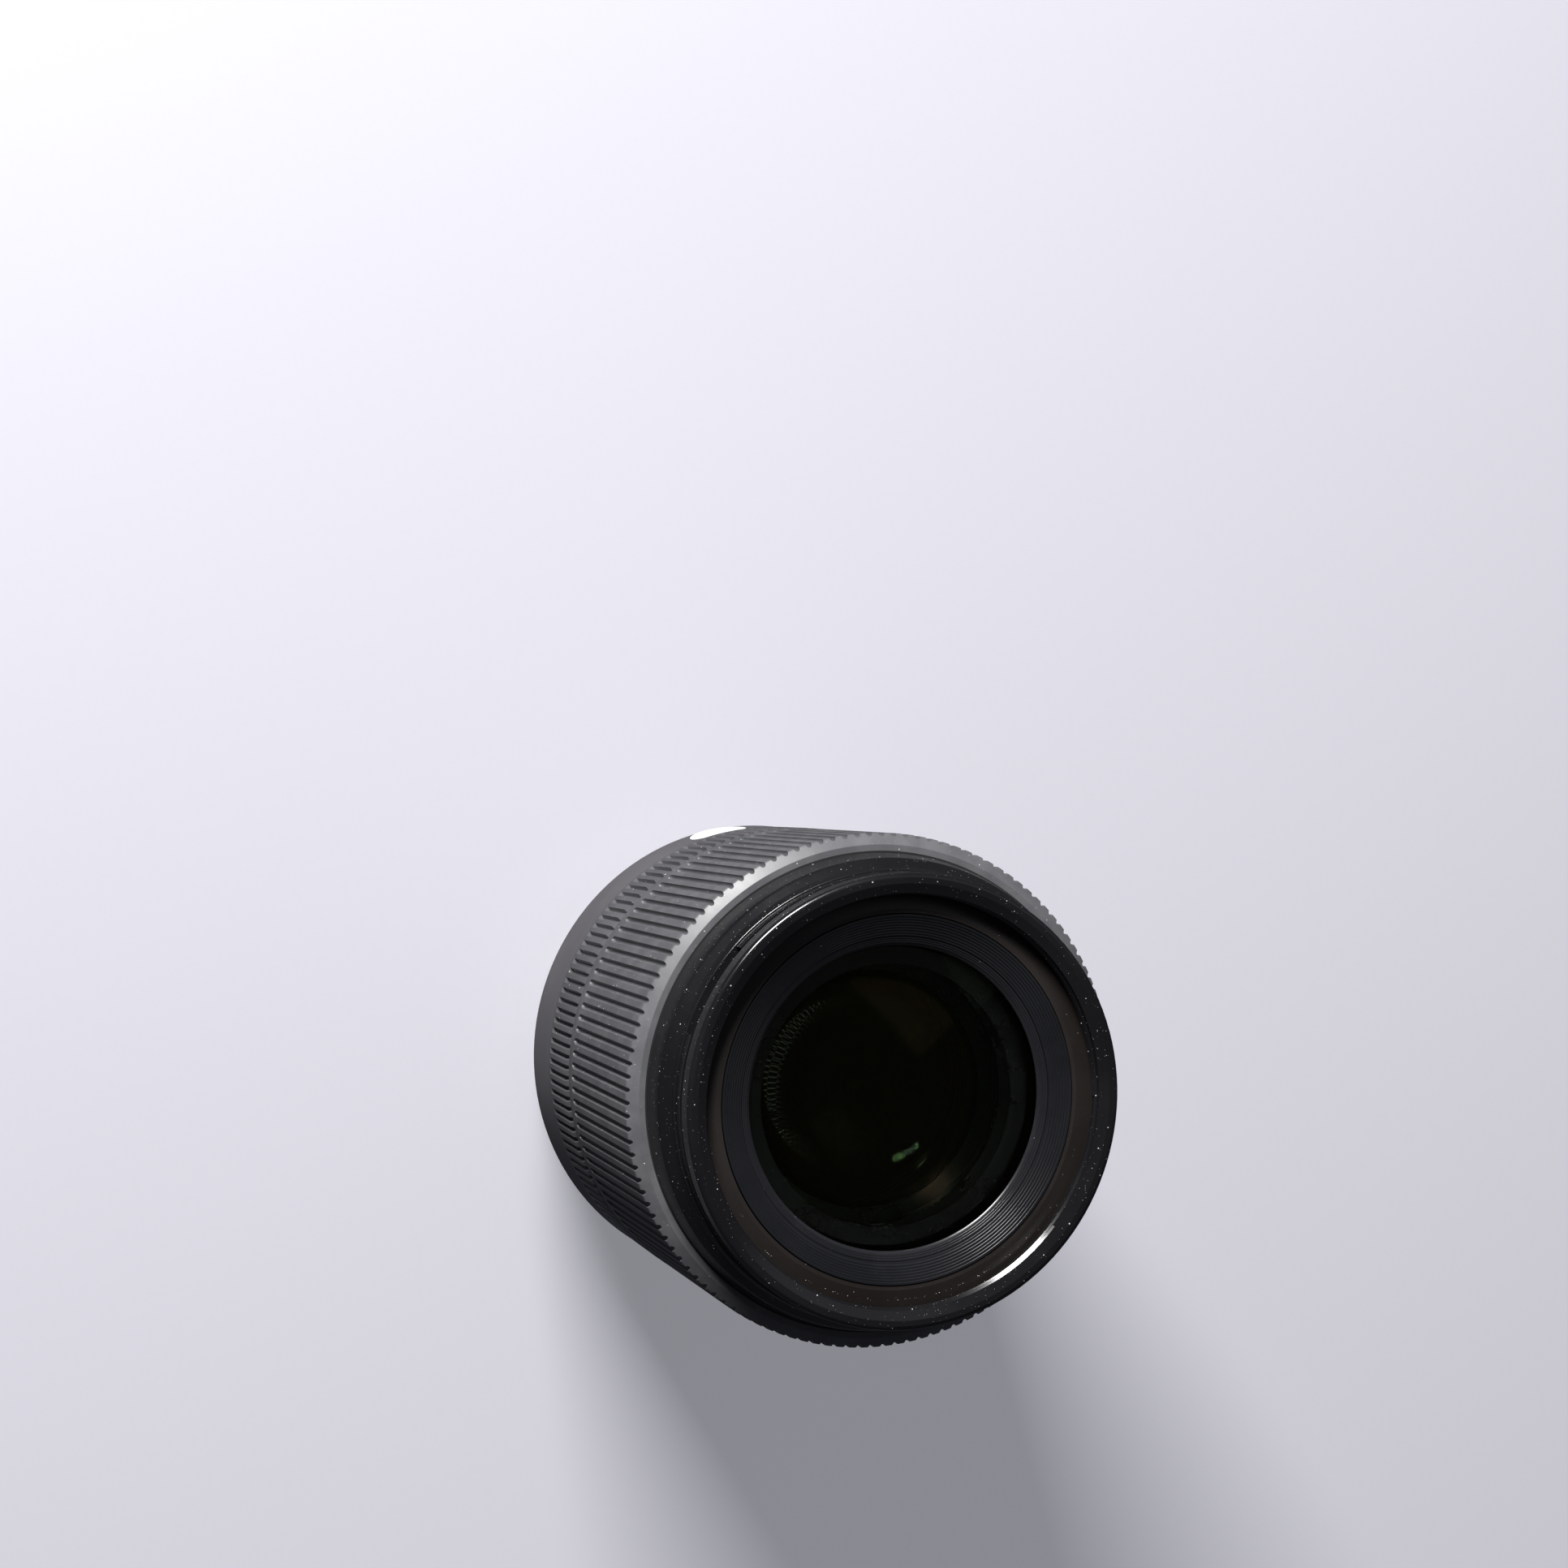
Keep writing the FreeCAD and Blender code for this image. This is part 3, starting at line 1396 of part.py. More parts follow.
# Rear cell: plate across the tube, with the last two glass groups
def rear_cell_screw_sizes():
    length = rear_plate_thickness + rear_cell_screw_bite
    return screw_head_radius, screw_head_height, screw_shank_radius, length


def rear_cell_screw_holes():
    sizes = rear_cell_screw_sizes()
    angles = spread(ear_count, lug_angle)
    return [screw_hole(*sizes, rear_cell_screw_circle, angle, rear_plate_z, True) for angle in angles]


def make_rear_cell_screws():
    sizes = rear_cell_screw_sizes()
    angles = spread(ear_count, lug_angle)
    screws = [screw(*sizes, rear_cell_screw_circle, angle, rear_plate_z, True) for angle in angles]
    return Part.makeCompound(screws)


def make_rear_cell():
    eighth_bore = eighth_glass_radius + fit_gap
    last_bore = last_glass_radius + fit_gap
    top = rear_plate_top_z + rear_tube_above
    body = turned([
        (eighth_bore, top),
        (rear_tube_radius, top),
        (rear_tube_radius, rear_plate_top_z),
        (main_bore - fit_gap, rear_plate_top_z),
        (main_bore - fit_gap, rear_plate_z),
        (rear_tube_radius, rear_plate_z),
        (rear_tube_radius, rear_cell_z),
        (last_bore, rear_cell_z),
        (last_bore, last_glass_z),
        (last_bore - seat_cover, last_glass_z),
        (last_bore - seat_cover, last_glass_z + last_seat_web),
        (eighth_bore - slim_cover, last_glass_z + last_seat_web),
        (eighth_bore - slim_cover, eighth_seat_z),
        (eighth_bore, eighth_seat_z),
    ])
    notch = arm(ear_width + 2 * notch_gap, main_bore - ear_reach - notch_gap, main_bore,
                rear_plate_z, rear_plate_top_z, ear_angle)
    for piece in repeated(notch, ear_count):
        body = body.cut(piece)
    for angle in spread(board_post_count, board_post_angle):
        body = body.fuse(cylinder_at(board_post_radius, board_post_circle, angle, board_top_z, rear_plate_z))
        body = body.fuse(cylinder_at(board_pin_radius, board_post_circle, angle, board_z - board_pin_tip,
                                     board_top_z))
    for angle in rod_angles():
        socket_z = rear_plate_top_z - rod_socket
        body = body.cut(cylinder_at(rod_radius, rod_circle, angle, socket_z, rear_plate_top_z))
    for hole in rear_cell_screw_holes():
        body = body.cut(hole)
    return body.removeSplitter()


# Chips on the board: angle, length, width and height
chips = [(60.0, 6.0, 5.0, 1.0), (180.0, 5.0, 5.0, 1.0), (300.0, 4.0, 4.0, 0.9),
         (95.0, 2.5, 3.0, 0.6), (210.0, 3.0, 2.0, 0.7), (330.0, 2.0, 3.0, 0.6)]


# Board with its chips soldered on, and the strip cable to the contacts
def make_circuit_board():
    body = ring(board_inner_radius, board_outer_radius, board_z, board_top_z)
    for angle in spread(ear_count, ear_angle):
        body = body.cut(cylinder_at(boss_radius + board_boss_gap, boss_circle, angle, board_z, board_top_z))
    circle = (board_inner_radius + board_outer_radius) / 2
    for angle, length, width, height in chips:
        chip = arm(width, circle - length / 2, circle + length / 2, board_top_z, board_top_z + height, angle)
        body = body.fuse(chip)
    for angle in spread(board_post_count, board_post_angle):
        body = body.cut(cylinder_at(board_pin_radius, board_post_circle, angle, board_z, board_top_z))
    return body.removeSplitter()


def make_flex_cable():
    half = cable_thickness / 2
    return arm(cable_width, cable_radius - half, cable_radius + half, mount_top_z, board_z, block_middle)


shapes = {
    "bayonet_mount": make_bayonet_mount(),
    "mount_screws": make_mount_screws(),
    "contact_block": make_contact_block(),
    "contact_pins": make_contact_pins(),
    "rear_baffle": make_rear_baffle(),
    "index_dot": index_plug(),
    "rear_barrel": make_rear_barrel(),
    "grip_band": make_grip_band(),
    "side_badge": badge_plug(),
    "main_barrel": make_main_barrel(),
    "barrel_screws": make_barrel_screws(),
    "focus_grip": make_focus_grip(),
    "focus_sleeve": make_focus_sleeve(),
    "encoder_strip": make_encoder_strip(),
    "ring_sensor": make_ring_sensor(),
    "front_barrel": make_front_barrel(),
    "front_screws": make_front_screws(),
    "front_trim_ring": make_front_trim_ring(),
    "front_cell": make_front_cell(),
    "cell_screws": make_cell_screws(),
    "front_retaining_ring": make_front_retaining_ring(),
    "second_retaining_ring": make_second_retaining_ring(),
    "doublet_retaining_ring": make_doublet_retaining_ring(),
    "iris_housing": make_iris_housing(),
    "iris_cover": make_iris_cover(),
    "iris_drive_ring": make_iris_drive_ring(),
    "iris_pinion": make_iris_pinion(),
    "iris_motor": make_iris_motor(),
    "iris_screws": make_iris_screws(),
    "middle_cell": make_middle_cell(),
    "middle_cell_screws": make_middle_cell_screws(),
    "middle_retaining_ring": make_middle_retaining_ring(),
    "guide_rods": make_guide_rods(),
    "focus_carriage": make_focus_carriage(),
    "drive_nut": make_drive_nut(),
    "focus_motor": make_focus_motor(),
    "lead_screw": make_lead_screw(),
    "rear_cell": make_rear_cell(),
    "rear_cell_screws": make_rear_cell_screws(),
    "rear_retaining_ring": make_rear_retaining_ring(),
    "circuit_board": make_circuit_board(),
    "flex_cable": make_flex_cable(),
}
shapes.update(make_lens_elements())
for number in range(blade_count):
    shapes["iris_blade_%d" % (number + 1)] = make_iris_blade(number)

for name, shape in shapes.items():
    shape.exportStep(os.path.join("parts", name + ".step"))
    print(name, len(shape.Solids), round(shape.Volume, 1), shape.isValid())
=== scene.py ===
# Camera lens that stands on its mount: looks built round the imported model
import bpy
import json
import math
import random
from mathutils import Matrix, Vector


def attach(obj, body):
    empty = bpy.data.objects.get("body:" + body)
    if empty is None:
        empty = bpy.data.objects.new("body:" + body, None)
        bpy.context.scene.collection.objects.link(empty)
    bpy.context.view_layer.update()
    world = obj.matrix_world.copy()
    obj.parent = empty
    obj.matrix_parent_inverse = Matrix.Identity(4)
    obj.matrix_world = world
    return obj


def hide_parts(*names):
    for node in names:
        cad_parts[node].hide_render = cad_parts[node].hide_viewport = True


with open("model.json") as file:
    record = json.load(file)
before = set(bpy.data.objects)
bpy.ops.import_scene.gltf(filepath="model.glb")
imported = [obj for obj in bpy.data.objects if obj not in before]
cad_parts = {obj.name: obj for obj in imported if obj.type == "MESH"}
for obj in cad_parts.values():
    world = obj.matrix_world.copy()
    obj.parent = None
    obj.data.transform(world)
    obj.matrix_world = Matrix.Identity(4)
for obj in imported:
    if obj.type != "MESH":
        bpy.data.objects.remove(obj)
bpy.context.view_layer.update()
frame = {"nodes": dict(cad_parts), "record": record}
cadNodes = frame["nodes"]
mm = 0.001
# points nearer to each other than this become one, in metres
weldGap = 1e-6
pitchWeldGap = 2e-6
print("frame loaded:", len(cadNodes), "nodes")


def deselectAll():
    if bpy.context.mode != "OBJECT":
        bpy.ops.object.mode_set(mode="OBJECT")
    bpy.ops.object.select_all(action="DESELECT")


def editOn(kind="VERT"):
    bpy.ops.object.mode_set(mode="EDIT")
    bpy.ops.mesh.select_mode(type=kind)


def editOff():
    bpy.ops.object.mode_set(mode="OBJECT")


def selectOnly(piece):
    deselectAll()
    piece.select_set(True)
    bpy.context.view_layer.objects.active = piece


def pickAll():
    bpy.ops.mesh.select_all(action="SELECT")


def turnNormalsOut():
    bpy.ops.mesh.normals_make_consistent(inside=False)


# joins points that lie together, turns the normals out and leaves edit mode
def weldMesh(gap):
    pickAll()
    bpy.ops.mesh.remove_doubles(threshold=gap)
    turnNormalsOut()
    editOff()


def named(name):
    piece = bpy.context.object
    piece.name = name
    piece.data.name = name
    return piece


# a closed chain of edges in the XZ plane, drawn by extruding one vertex from point to point, in millimetres
def drawProfile(name, points):
    deselectAll()
    bpy.ops.mesh.primitive_plane_add(size=mm)
    piece = named(name)
    editOn()
    pickAll()
    bpy.ops.mesh.merge(type="CENTER")
    spots = [Vector((r * mm, 0, z * mm)) for r, z in points]
    bpy.ops.transform.translate(value=spots[0])
    at = spots[0]
    for spot in spots[1:] + [spots[0]]:
        bpy.ops.mesh.extrude_region_move(TRANSFORM_OT_translate={"value": spot - at})
        at = spot
    pickAll()
    bpy.ops.mesh.remove_doubles(threshold=weldGap)
    return piece


# points of a turned profile with each corner (r, z, radius) rounded by a few short edges
def softCorners(corners):
    points = []
    steps = 4
    count = len(corners)
    for i, corner in enumerate(corners):
        here = Vector(corner[:2])
        radius = corner[2] if len(corner) > 2 else 0
        if not radius:
            points.append(tuple(here))
            continue
        before = (Vector(corners[i - 1][:2]) - here).normalized()
        after = (Vector(corners[(i + 1) % count][:2]) - here).normalized()
        half = before.angle(after) / 2
        reach = radius / math.tan(half)
        middle = here + (before + after).normalized() * radius / math.sin(half)
        start = here + before * reach - middle
        end = here + after * reach - middle
        for step in range(steps + 1):
            way = start.normalized().slerp(end.normalized(), step / steps)
            points.append(tuple(middle + way * radius))
    return points


def smoothPiece(piece, angle):
    selectOnly(piece)
    bpy.ops.object.shade_smooth_by_angle(angle=math.radians(angle))


def applyAll(piece):
    selectOnly(piece)
    for modifier in list(piece.modifiers):
        bpy.ops.object.modifier_apply(modifier=modifier.name)


def dress(piece, material):
    piece.data.materials.clear()
    piece.data.materials.append(material)


def newGroup(name, inputs, outputs):
    group = bpy.data.node_groups.new(name, "ShaderNodeTree")
    kinds = {"colour": "NodeSocketColor", "number": "NodeSocketFloat"}
    for label, kind, value in inputs:
        socket = group.interface.new_socket(name=label, in_out="INPUT", socket_type=kinds[kind])
        socket.default_value = (*value, 1) if kind == "colour" else value
    for label, kind in outputs:
        group.interface.new_socket(name=label, in_out="OUTPUT", socket_type=kinds[kind])
    return group, group.nodes.new("NodeGroupInput"), group.nodes.new("NodeGroupOutput")


def plug(tree, socket, value):
    if isinstance(value, bpy.types.NodeSocket):
        tree.links.new(value, socket)
    elif isinstance(value, tuple) and len(value) == 3 and socket.type == "RGBA":
        socket.default_value = (*value, 1)
    else:
        socket.default_value = value


def maths(tree, operation, *values, clamp=False):
    node = tree.nodes.new("ShaderNodeMath")
    node.operation = operation
    node.use_clamp = clamp
    for socket, value in zip(node.inputs, values):
        plug(tree, socket, value)
    return node.outputs[0]


def rangeOf(tree, value, low, high, toLow=0.0, toHigh=1.0):
    node = tree.nodes.new("ShaderNodeMapRange")
    node.interpolation_type = "SMOOTHSTEP"
    numbers = {"Value": value, "From Min": low, "From Max": high, "To Min": toLow, "To Max": toHigh}
    for label, number in numbers.items():
        plug(tree, node.inputs[label], number)
    return node.outputs["Result"]


def blendColours(tree, factor, first, second):
    node = tree.nodes.new("ShaderNodeMix")
    node.data_type = "RGBA"
    plug(tree, node.inputs[0], factor)
    plug(tree, node.inputs[6], first)
    plug(tree, node.inputs[7], second)
    return node.outputs[2]


def objectPlace(tree):
    return tree.nodes.new("ShaderNodeTexCoord").outputs["Object"]


def noiseOf(tree, scale, detail, vector=None):
    node = tree.nodes.new("ShaderNodeTexNoise")
    plug(tree, node.inputs["Vector"], vector or objectPlace(tree))
    plug(tree, node.inputs["Scale"], scale)
    node.inputs["Detail"].default_value = detail
    return node.outputs[0]


# distance from the lens axis, height, and the node that splits the three coordinates, in metres
def radiusAndHeight(tree):
    split = tree.nodes.new("ShaderNodeSeparateXYZ")
    tree.links.new(objectPlace(tree), split.inputs[0])
    square = maths(tree, "ADD", maths(tree, "MULTIPLY", split.outputs[0], split.outputs[0]),
                   maths(tree, "MULTIPLY", split.outputs[1], split.outputs[1]))
    return maths(tree, "SQRT", square), split.outputs[2], split


# how each shader group mixes its noises: shares, limits of a mask, and detail or scale of a noise
handledMix = {"cloudDetail": 4.0, "cloudLow": 0.35, "cloudHigh": 0.7, "cloudShare": 0.65,
              "fineScale": 21.0, "fineDetail": 2.0, "fineShare": 0.35}
dustMix = {"layers": ((1.0, 1.0, 1.0), (2.7, 0.9, 1.3)), "sizeSpread": 0.8, "smallest": 0.35, "core": 0.7,
           "roughness": 0.9}
grainMix = {"fineDetail": 3.0, "fineShare": 0.6, "coarseScale": 0.31, "coarseDetail": 2.0, "coarseShare": 0.4}
turnedMix = {"heightShare": 0.83, "detail": 3.0, "markLow": 0.35, "markHigh": 0.65}
scuffMix = {"turnScale": 2.2, "detail": 5.0, "low": 0.56, "high": 0.68}


# slow changes of tone and polish, as hands and cleaning leave
def makeHandledGroup():
    group, start, end = newGroup("handledTone", [
        ("Colour", "colour", (0.05, 0.05, 0.05)), ("Light Colour", "colour", (0.07, 0.07, 0.07)),
        ("Roughness", "number", 0.4), ("Roughness Shift", "number", 0.08), ("Scale", "number", 90.0),
    ], [("Colour", "colour"), ("Roughness", "number")])
    mix = handledMix
    wide = noiseOf(group, start.outputs["Scale"], mix["cloudDetail"])
    cloud = rangeOf(group, wide, mix["cloudLow"], mix["cloudHigh"])
    fineScale = maths(group, "MULTIPLY", start.outputs["Scale"], mix["fineScale"])
    fine = noiseOf(group, fineScale, mix["fineDetail"])
    mixed = maths(group, "ADD", maths(group, "MULTIPLY", cloud, mix["cloudShare"]),
                  maths(group, "MULTIPLY", fine, mix["fineShare"]))
    colour = blendColours(group, mixed, start.outputs["Colour"], start.outputs["Light Colour"])
    plug(group, end.inputs["Colour"], colour)
    shift = maths(group, "MULTIPLY", maths(group, "SUBTRACT", mixed, 0.5), start.outputs["Roughness Shift"])
    plug(group, end.inputs["Roughness"], maths(group, "ADD", start.outputs["Roughness"], shift, clamp=True))
    return group


# small pale specks of dust, each in its own cell, some large and most fine
def makeDustGroup():
    group, start, end = newGroup("dustSpecks", [
        ("Colour", "colour", (0.05, 0.05, 0.05)), ("Roughness", "number", 0.4),
        ("Dust", "colour", (0.5, 0.5, 0.52)), ("Cells", "number", 900.0), ("Size", "number", 0.08),
        ("Share", "number", 0.6),
    ], [("Colour", "colour"), ("Roughness", "number"), ("Height", "number")])
    colour, rough, height = start.outputs["Colour"], start.outputs["Roughness"], 0.0
    for scale, grow, share in dustMix["layers"]:
        cells = group.nodes.new("ShaderNodeTexVoronoi")
        cells.voronoi_dimensions = "3D"
        plug(group, cells.inputs["Vector"], objectPlace(group))
        plug(group, cells.inputs["Scale"], maths(group, "MULTIPLY", start.outputs["Cells"], scale))
        parts = group.nodes.new("ShaderNodeSeparateColor")
        group.links.new(cells.outputs["Color"], parts.inputs[0])
        spread = maths(group, "MULTIPLY", parts.outputs[0], dustMix["sizeSpread"])
        size = maths(group, "MULTIPLY", maths(group, "MULTIPLY", start.outputs["Size"], grow),
                     maths(group, "ADD", spread, dustMix["smallest"]))
        rim = maths(group, "MULTIPLY", size, dustMix["core"])
        spot = rangeOf(group, cells.outputs["Distance"], size, rim)
        limit = maths(group, "MULTIPLY", start.outputs["Share"], share)
        lies = maths(group, "LESS_THAN", parts.outputs[1], limit)
        mask = maths(group, "MULTIPLY", spot, lies)
        colour = blendColours(group, mask, colour, start.outputs["Dust"])
        rough = maths(group, "MAXIMUM", rough, maths(group, "MULTIPLY", mask, dustMix["roughness"]))
        height = maths(group, "ADD", height, mask)
    plug(group, end.inputs["Colour"], colour)
    plug(group, end.inputs["Roughness"], rough)
    plug(group, end.inputs["Height"], height)
    return group


# fine grain of a moulded or painted surface
def makeGrainGroup():
    group, start, end = newGroup("surfaceGrain", [("Scale", "number", 5000.0)], [("Height", "number")])
    fine = noiseOf(group, start.outputs["Scale"], grainMix["fineDetail"])
    coarseScale = maths(group, "MULTIPLY", start.outputs["Scale"], grainMix["coarseScale"])
    coarse = noiseOf(group, coarseScale, grainMix["coarseDetail"])
    height = maths(group, "ADD", maths(group, "MULTIPLY", fine, grainMix["fineShare"]),
                   maths(group, "MULTIPLY", coarse, grainMix["coarseShare"]))
    plug(group, end.inputs["Height"], height)
    return group


# tool marks that run round the axis on turned and brushed parts
def makeTurnedGroup():
    group, start, end = newGroup("turnedLines", [("Lines", "number", 6000.0)],
                                 [("Height", "number"), ("Mask", "number")])
    radius, height, _ = radiusAndHeight(group)
    slant = maths(group, "ADD", radius, maths(group, "MULTIPLY", height, turnedMix["heightShare"]))
    along = maths(group, "MULTIPLY", slant, start.outputs["Lines"])
    lines = group.nodes.new("ShaderNodeTexNoise")
    lines.noise_dimensions = "1D"
    plug(group, lines.inputs["W"], along)
    lines.inputs["Scale"].default_value = 1.0
    lines.inputs["Detail"].default_value = turnedMix["detail"]
    plug(group, end.inputs["Height"], lines.outputs[0])
    mask = rangeOf(group, lines.outputs[0], turnedMix["markLow"], turnedMix["markHigh"])
    plug(group, end.inputs["Mask"], mask)
    return group


# short random scuffs, such as fitting a lens to a camera many times leaves
def makeScuffGroup():
    group, start, end = newGroup("fineScuffs", [("Scale", "number", 700.0)], [("Mask", "number")])
    radius, height, split = radiusAndHeight(group)
    turn = maths(group, "ARCTAN2", split.outputs[1], split.outputs[0])
    place = group.nodes.new("ShaderNodeCombineXYZ")
    plug(group, place.inputs[0], maths(group, "MULTIPLY", radius, start.outputs["Scale"]))
    plug(group, place.inputs[1], maths(group, "MULTIPLY", turn, scuffMix["turnScale"]))
    plug(group, place.inputs[2], maths(group, "MULTIPLY", height, start.outputs["Scale"]))
    stretched = noiseOf(group, 1.0, scuffMix["detail"], place.outputs[0])
    plug(group, end.inputs["Mask"], rangeOf(group, stretched, scuffMix["low"], scuffMix["high"]))
    return group


handledGroup = makeHandledGroup()
dustGroup = makeDustGroup()
grainGroup = makeGrainGroup()
turnedGroup = makeTurnedGroup()
scuffGroup = makeScuffGroup()
print("shader groups made:", len(bpy.data.node_groups))


def newMaterial(name, settings):
    material = bpy.data.materials.new(name)
    material.use_nodes = True
    tree = material.node_tree
    surface = tree.nodes["Principled BSDF"]
    for label, value in settings.items():
        plug(tree, surface.inputs[label], value)
    return material, tree, surface


def useGroup(tree, group, **values):
    node = tree.nodes.new("ShaderNodeGroup")
    node.node_tree = group
    for label, value in values.items():
        plug(tree, node.inputs[label.replace("_", " ")], value)
    return node


def addBump(tree, surface, height, depth):
    bump = tree.nodes.new("ShaderNodeBump")
    bump.inputs["Distance"].default_value = depth
    bump.inputs["Strength"].default_value = 1.0
    plug(tree, bump.inputs["Height"], height)
    plug(tree, surface.inputs["Normal"], bump.outputs[0])


# what a look has where it doesn't say otherwise
plainCoat = {"toneScale": 90.0, "roughnessShift": 0.1, "grainScale": 5000.0, "dust": (0.42, 0.42, 0.44),
             "dustCells": 900.0, "dustSize": 0.08, "dustShare": 0.5, "dustHeight": 3.0}
plainMetal = {"toneScale": 120.0, "roughnessShift": 0.1, "scuffs": 0.12, "scuffScale": 700.0}


# paint or moulded plastic with handling, dust and grain
def coatedFinish(name, changes):
    look = {**plainCoat, **changes}
    material, tree, surface = newMaterial(name, {})
    tone = useGroup(tree, handledGroup, Colour=look["colour"], Light_Colour=look["lightColour"],
                    Roughness=look["roughness"], Roughness_Shift=look["roughnessShift"],
                    Scale=look["toneScale"])
    dust = useGroup(tree, dustGroup, Colour=tone.outputs["Colour"], Roughness=tone.outputs["Roughness"],
                    Dust=look["dust"], Cells=look["dustCells"], Size=look["dustSize"],
                    Share=look["dustShare"])
    plug(tree, surface.inputs["Base Color"], dust.outputs["Colour"])
    plug(tree, surface.inputs["Roughness"], dust.outputs["Roughness"])
    grain = useGroup(tree, grainGroup, Scale=look["grainScale"])
    specks = maths(tree, "MULTIPLY", dust.outputs["Height"], look["dustHeight"])
    height = maths(tree, "ADD", grain.outputs["Height"], specks)
    if "lines" in look:
        lines = useGroup(tree, turnedGroup, Lines=look["lines"])
        marks = maths(tree, "MULTIPLY", lines.outputs["Height"], look["lineDepth"])
        height = maths(tree, "ADD", height, marks)
    addBump(tree, surface, height, look["grainDepth"])
    return material


# metal with lines round the axis and light scuffs
def turnedFinish(name, changes):
    look = {**plainMetal, **changes}
    material, tree, surface = newMaterial(name, look["shader"])
    lines = useGroup(tree, turnedGroup, Lines=look["lines"])
    scuffs = useGroup(tree, scuffGroup, Scale=look["scuffScale"])
    colour = blendColours(tree, lines.outputs["Mask"], look["colour"], look["lightColour"])
    tone = useGroup(tree, handledGroup, Colour=colour, Light_Colour=look["lightColour"],
                    Roughness=look["roughness"], Roughness_Shift=look["roughnessShift"],
                    Scale=look["toneScale"])
    plug(tree, surface.inputs["Base Color"], tone.outputs["Colour"])
    worn = maths(tree, "MULTIPLY", scuffs.outputs["Mask"], look["scuffs"])
    rough = maths(tree, "ADD", tone.outputs["Roughness"], worn)
    plug(tree, surface.inputs["Roughness"], rough)
    addBump(tree, surface, lines.outputs["Height"], look["lineDepth"])
    return material


looks = {
    "satinBarrel": {
        "colour": (0.095, 0.092, 0.102), "lightColour": (0.112, 0.108, 0.118), "roughness": 0.45,
        "grainDepth": 2.0e-6, "grainScale": 9000.0, "dustShare": 0.25, "dustSize": 0.06},
    "frontBarrelPaint": {
        "colour": (0.006, 0.006, 0.007), "lightColour": (0.009, 0.009, 0.01), "roughness": 0.2,
        "grainDepth": 0.8e-6, "grainScale": 12000.0, "dustCells": 1000.0, "dustSize": 0.1, "dustShare": 0.8,
        "dust": (0.5, 0.49, 0.5)},
    "ringPlastic": {
        "colour": (0.085, 0.087, 0.094), "lightColour": (0.12, 0.122, 0.13), "roughness": 0.44,
        "grainDepth": 5.0e-6, "grainScale": 6000.0, "toneScale": 260.0, "dustCells": 1100.0,
        "dustSize": 0.1, "dustShare": 0.55, "dust": (0.6, 0.6, 0.62)},
    "bandPlastic": {
        "colour": (0.08, 0.079, 0.086), "lightColour": (0.105, 0.104, 0.112), "roughness": 0.28,
        "grainDepth": 1.5e-6, "dustShare": 0.5, "dust": (0.5, 0.5, 0.5), "dustSize": 0.09},
    "trimBrown": {
        "colour": (0.014, 0.0115, 0.0105), "lightColour": (0.02, 0.016, 0.0145), "roughness": 0.42,
        "grainDepth": 2.0e-6, "lines": 5000.0, "lineDepth": 0.8, "dustCells": 1300.0, "dustSize": 0.07,
        "dustShare": 0.35},
    "cellBlack": {
        "colour": (0.007, 0.0075, 0.009), "lightColour": (0.011, 0.0115, 0.0135), "roughness": 0.28,
        "grainDepth": 1.5e-6, "lines": 7000.0, "lineDepth": 1.2, "dustShare": 0.2, "dustSize": 0.05},
    "innerMatte": {
        "colour": (0.009, 0.009, 0.01), "lightColour": (0.014, 0.014, 0.015), "roughness": 0.62,
        "grainDepth": 3.0e-6, "lines": 6000.0, "lineDepth": 1.0, "dustShare": 0.1},
    "retainerAnodised": {
        "colour": (0.01, 0.0105, 0.012), "lightColour": (0.015, 0.0155, 0.018), "roughness": 0.24,
        "grainDepth": 0.8e-6, "lines": 9000.0, "lineDepth": 1.5, "dustShare": 0.2, "dustSize": 0.05},
    "bladeCoat": {
        "colour": (0.012, 0.012, 0.013), "lightColour": (0.02, 0.02, 0.021), "roughness": 0.38,
        "grainDepth": 1.0e-6, "dustShare": 0.0},
    "ringMoulding": {
        "colour": (0.02, 0.02, 0.021), "lightColour": (0.03, 0.03, 0.032), "roughness": 0.42,
        "grainDepth": 2.0e-6, "dustShare": 0.0},
    "indexEnamel": {
        "colour": (0.75, 0.75, 0.74), "lightColour": (0.86, 0.86, 0.85), "roughness": 0.3,
        "grainDepth": 2.0e-6, "dustShare": 0.3, "dust": (0.3, 0.3, 0.3), "dustSize": 0.05},
    "dustFinish": {
        "colour": (0.32, 0.32, 0.33), "lightColour": (0.62, 0.61, 0.6), "roughness": 0.8,
        "toneScale": 4000.0, "grainDepth": 4.0e-6, "dustShare": 0.0},
}
metals = {
    "mountSteel": {
        "colour": (0.5, 0.5, 0.5), "lightColour": (0.66, 0.66, 0.65), "roughness": 0.27, "lines": 9000.0,
        "lineDepth": 1.2e-6, "scuffs": 0.16, "shader": {"Metallic": 1.0}},
    "motorCan": {
        "colour": (0.42, 0.43, 0.44), "lightColour": (0.55, 0.56, 0.57), "roughness": 0.34, "lines": 5000.0,
        "lineDepth": 1.0e-6, "shader": {"Metallic": 1.0}},
    "contactGold": {
        "colour": (0.75, 0.52, 0.2), "lightColour": (0.88, 0.66, 0.3), "roughness": 0.24, "lines": 12000.0,
        "lineDepth": 0.6e-6, "scuffs": 0.2, "scuffScale": 2500.0, "shader": {"Metallic": 1.0}},
    "badgeMetal": {
        "colour": (0.86, 0.86, 0.88), "lightColour": (0.95, 0.95, 0.97), "roughness": 0.4, "lines": 14000.0,
        "lineDepth": 0.6e-6, "scuffs": 0.06, "shader": {"Metallic": 0.15}},
    "encoderStrip": {
        "colour": (0.55, 0.55, 0.56), "lightColour": (0.72, 0.72, 0.73), "roughness": 0.3, "lines": 9000.0,
        "lineDepth": 0.8e-6, "shader": {"Metallic": 1.0}},
}


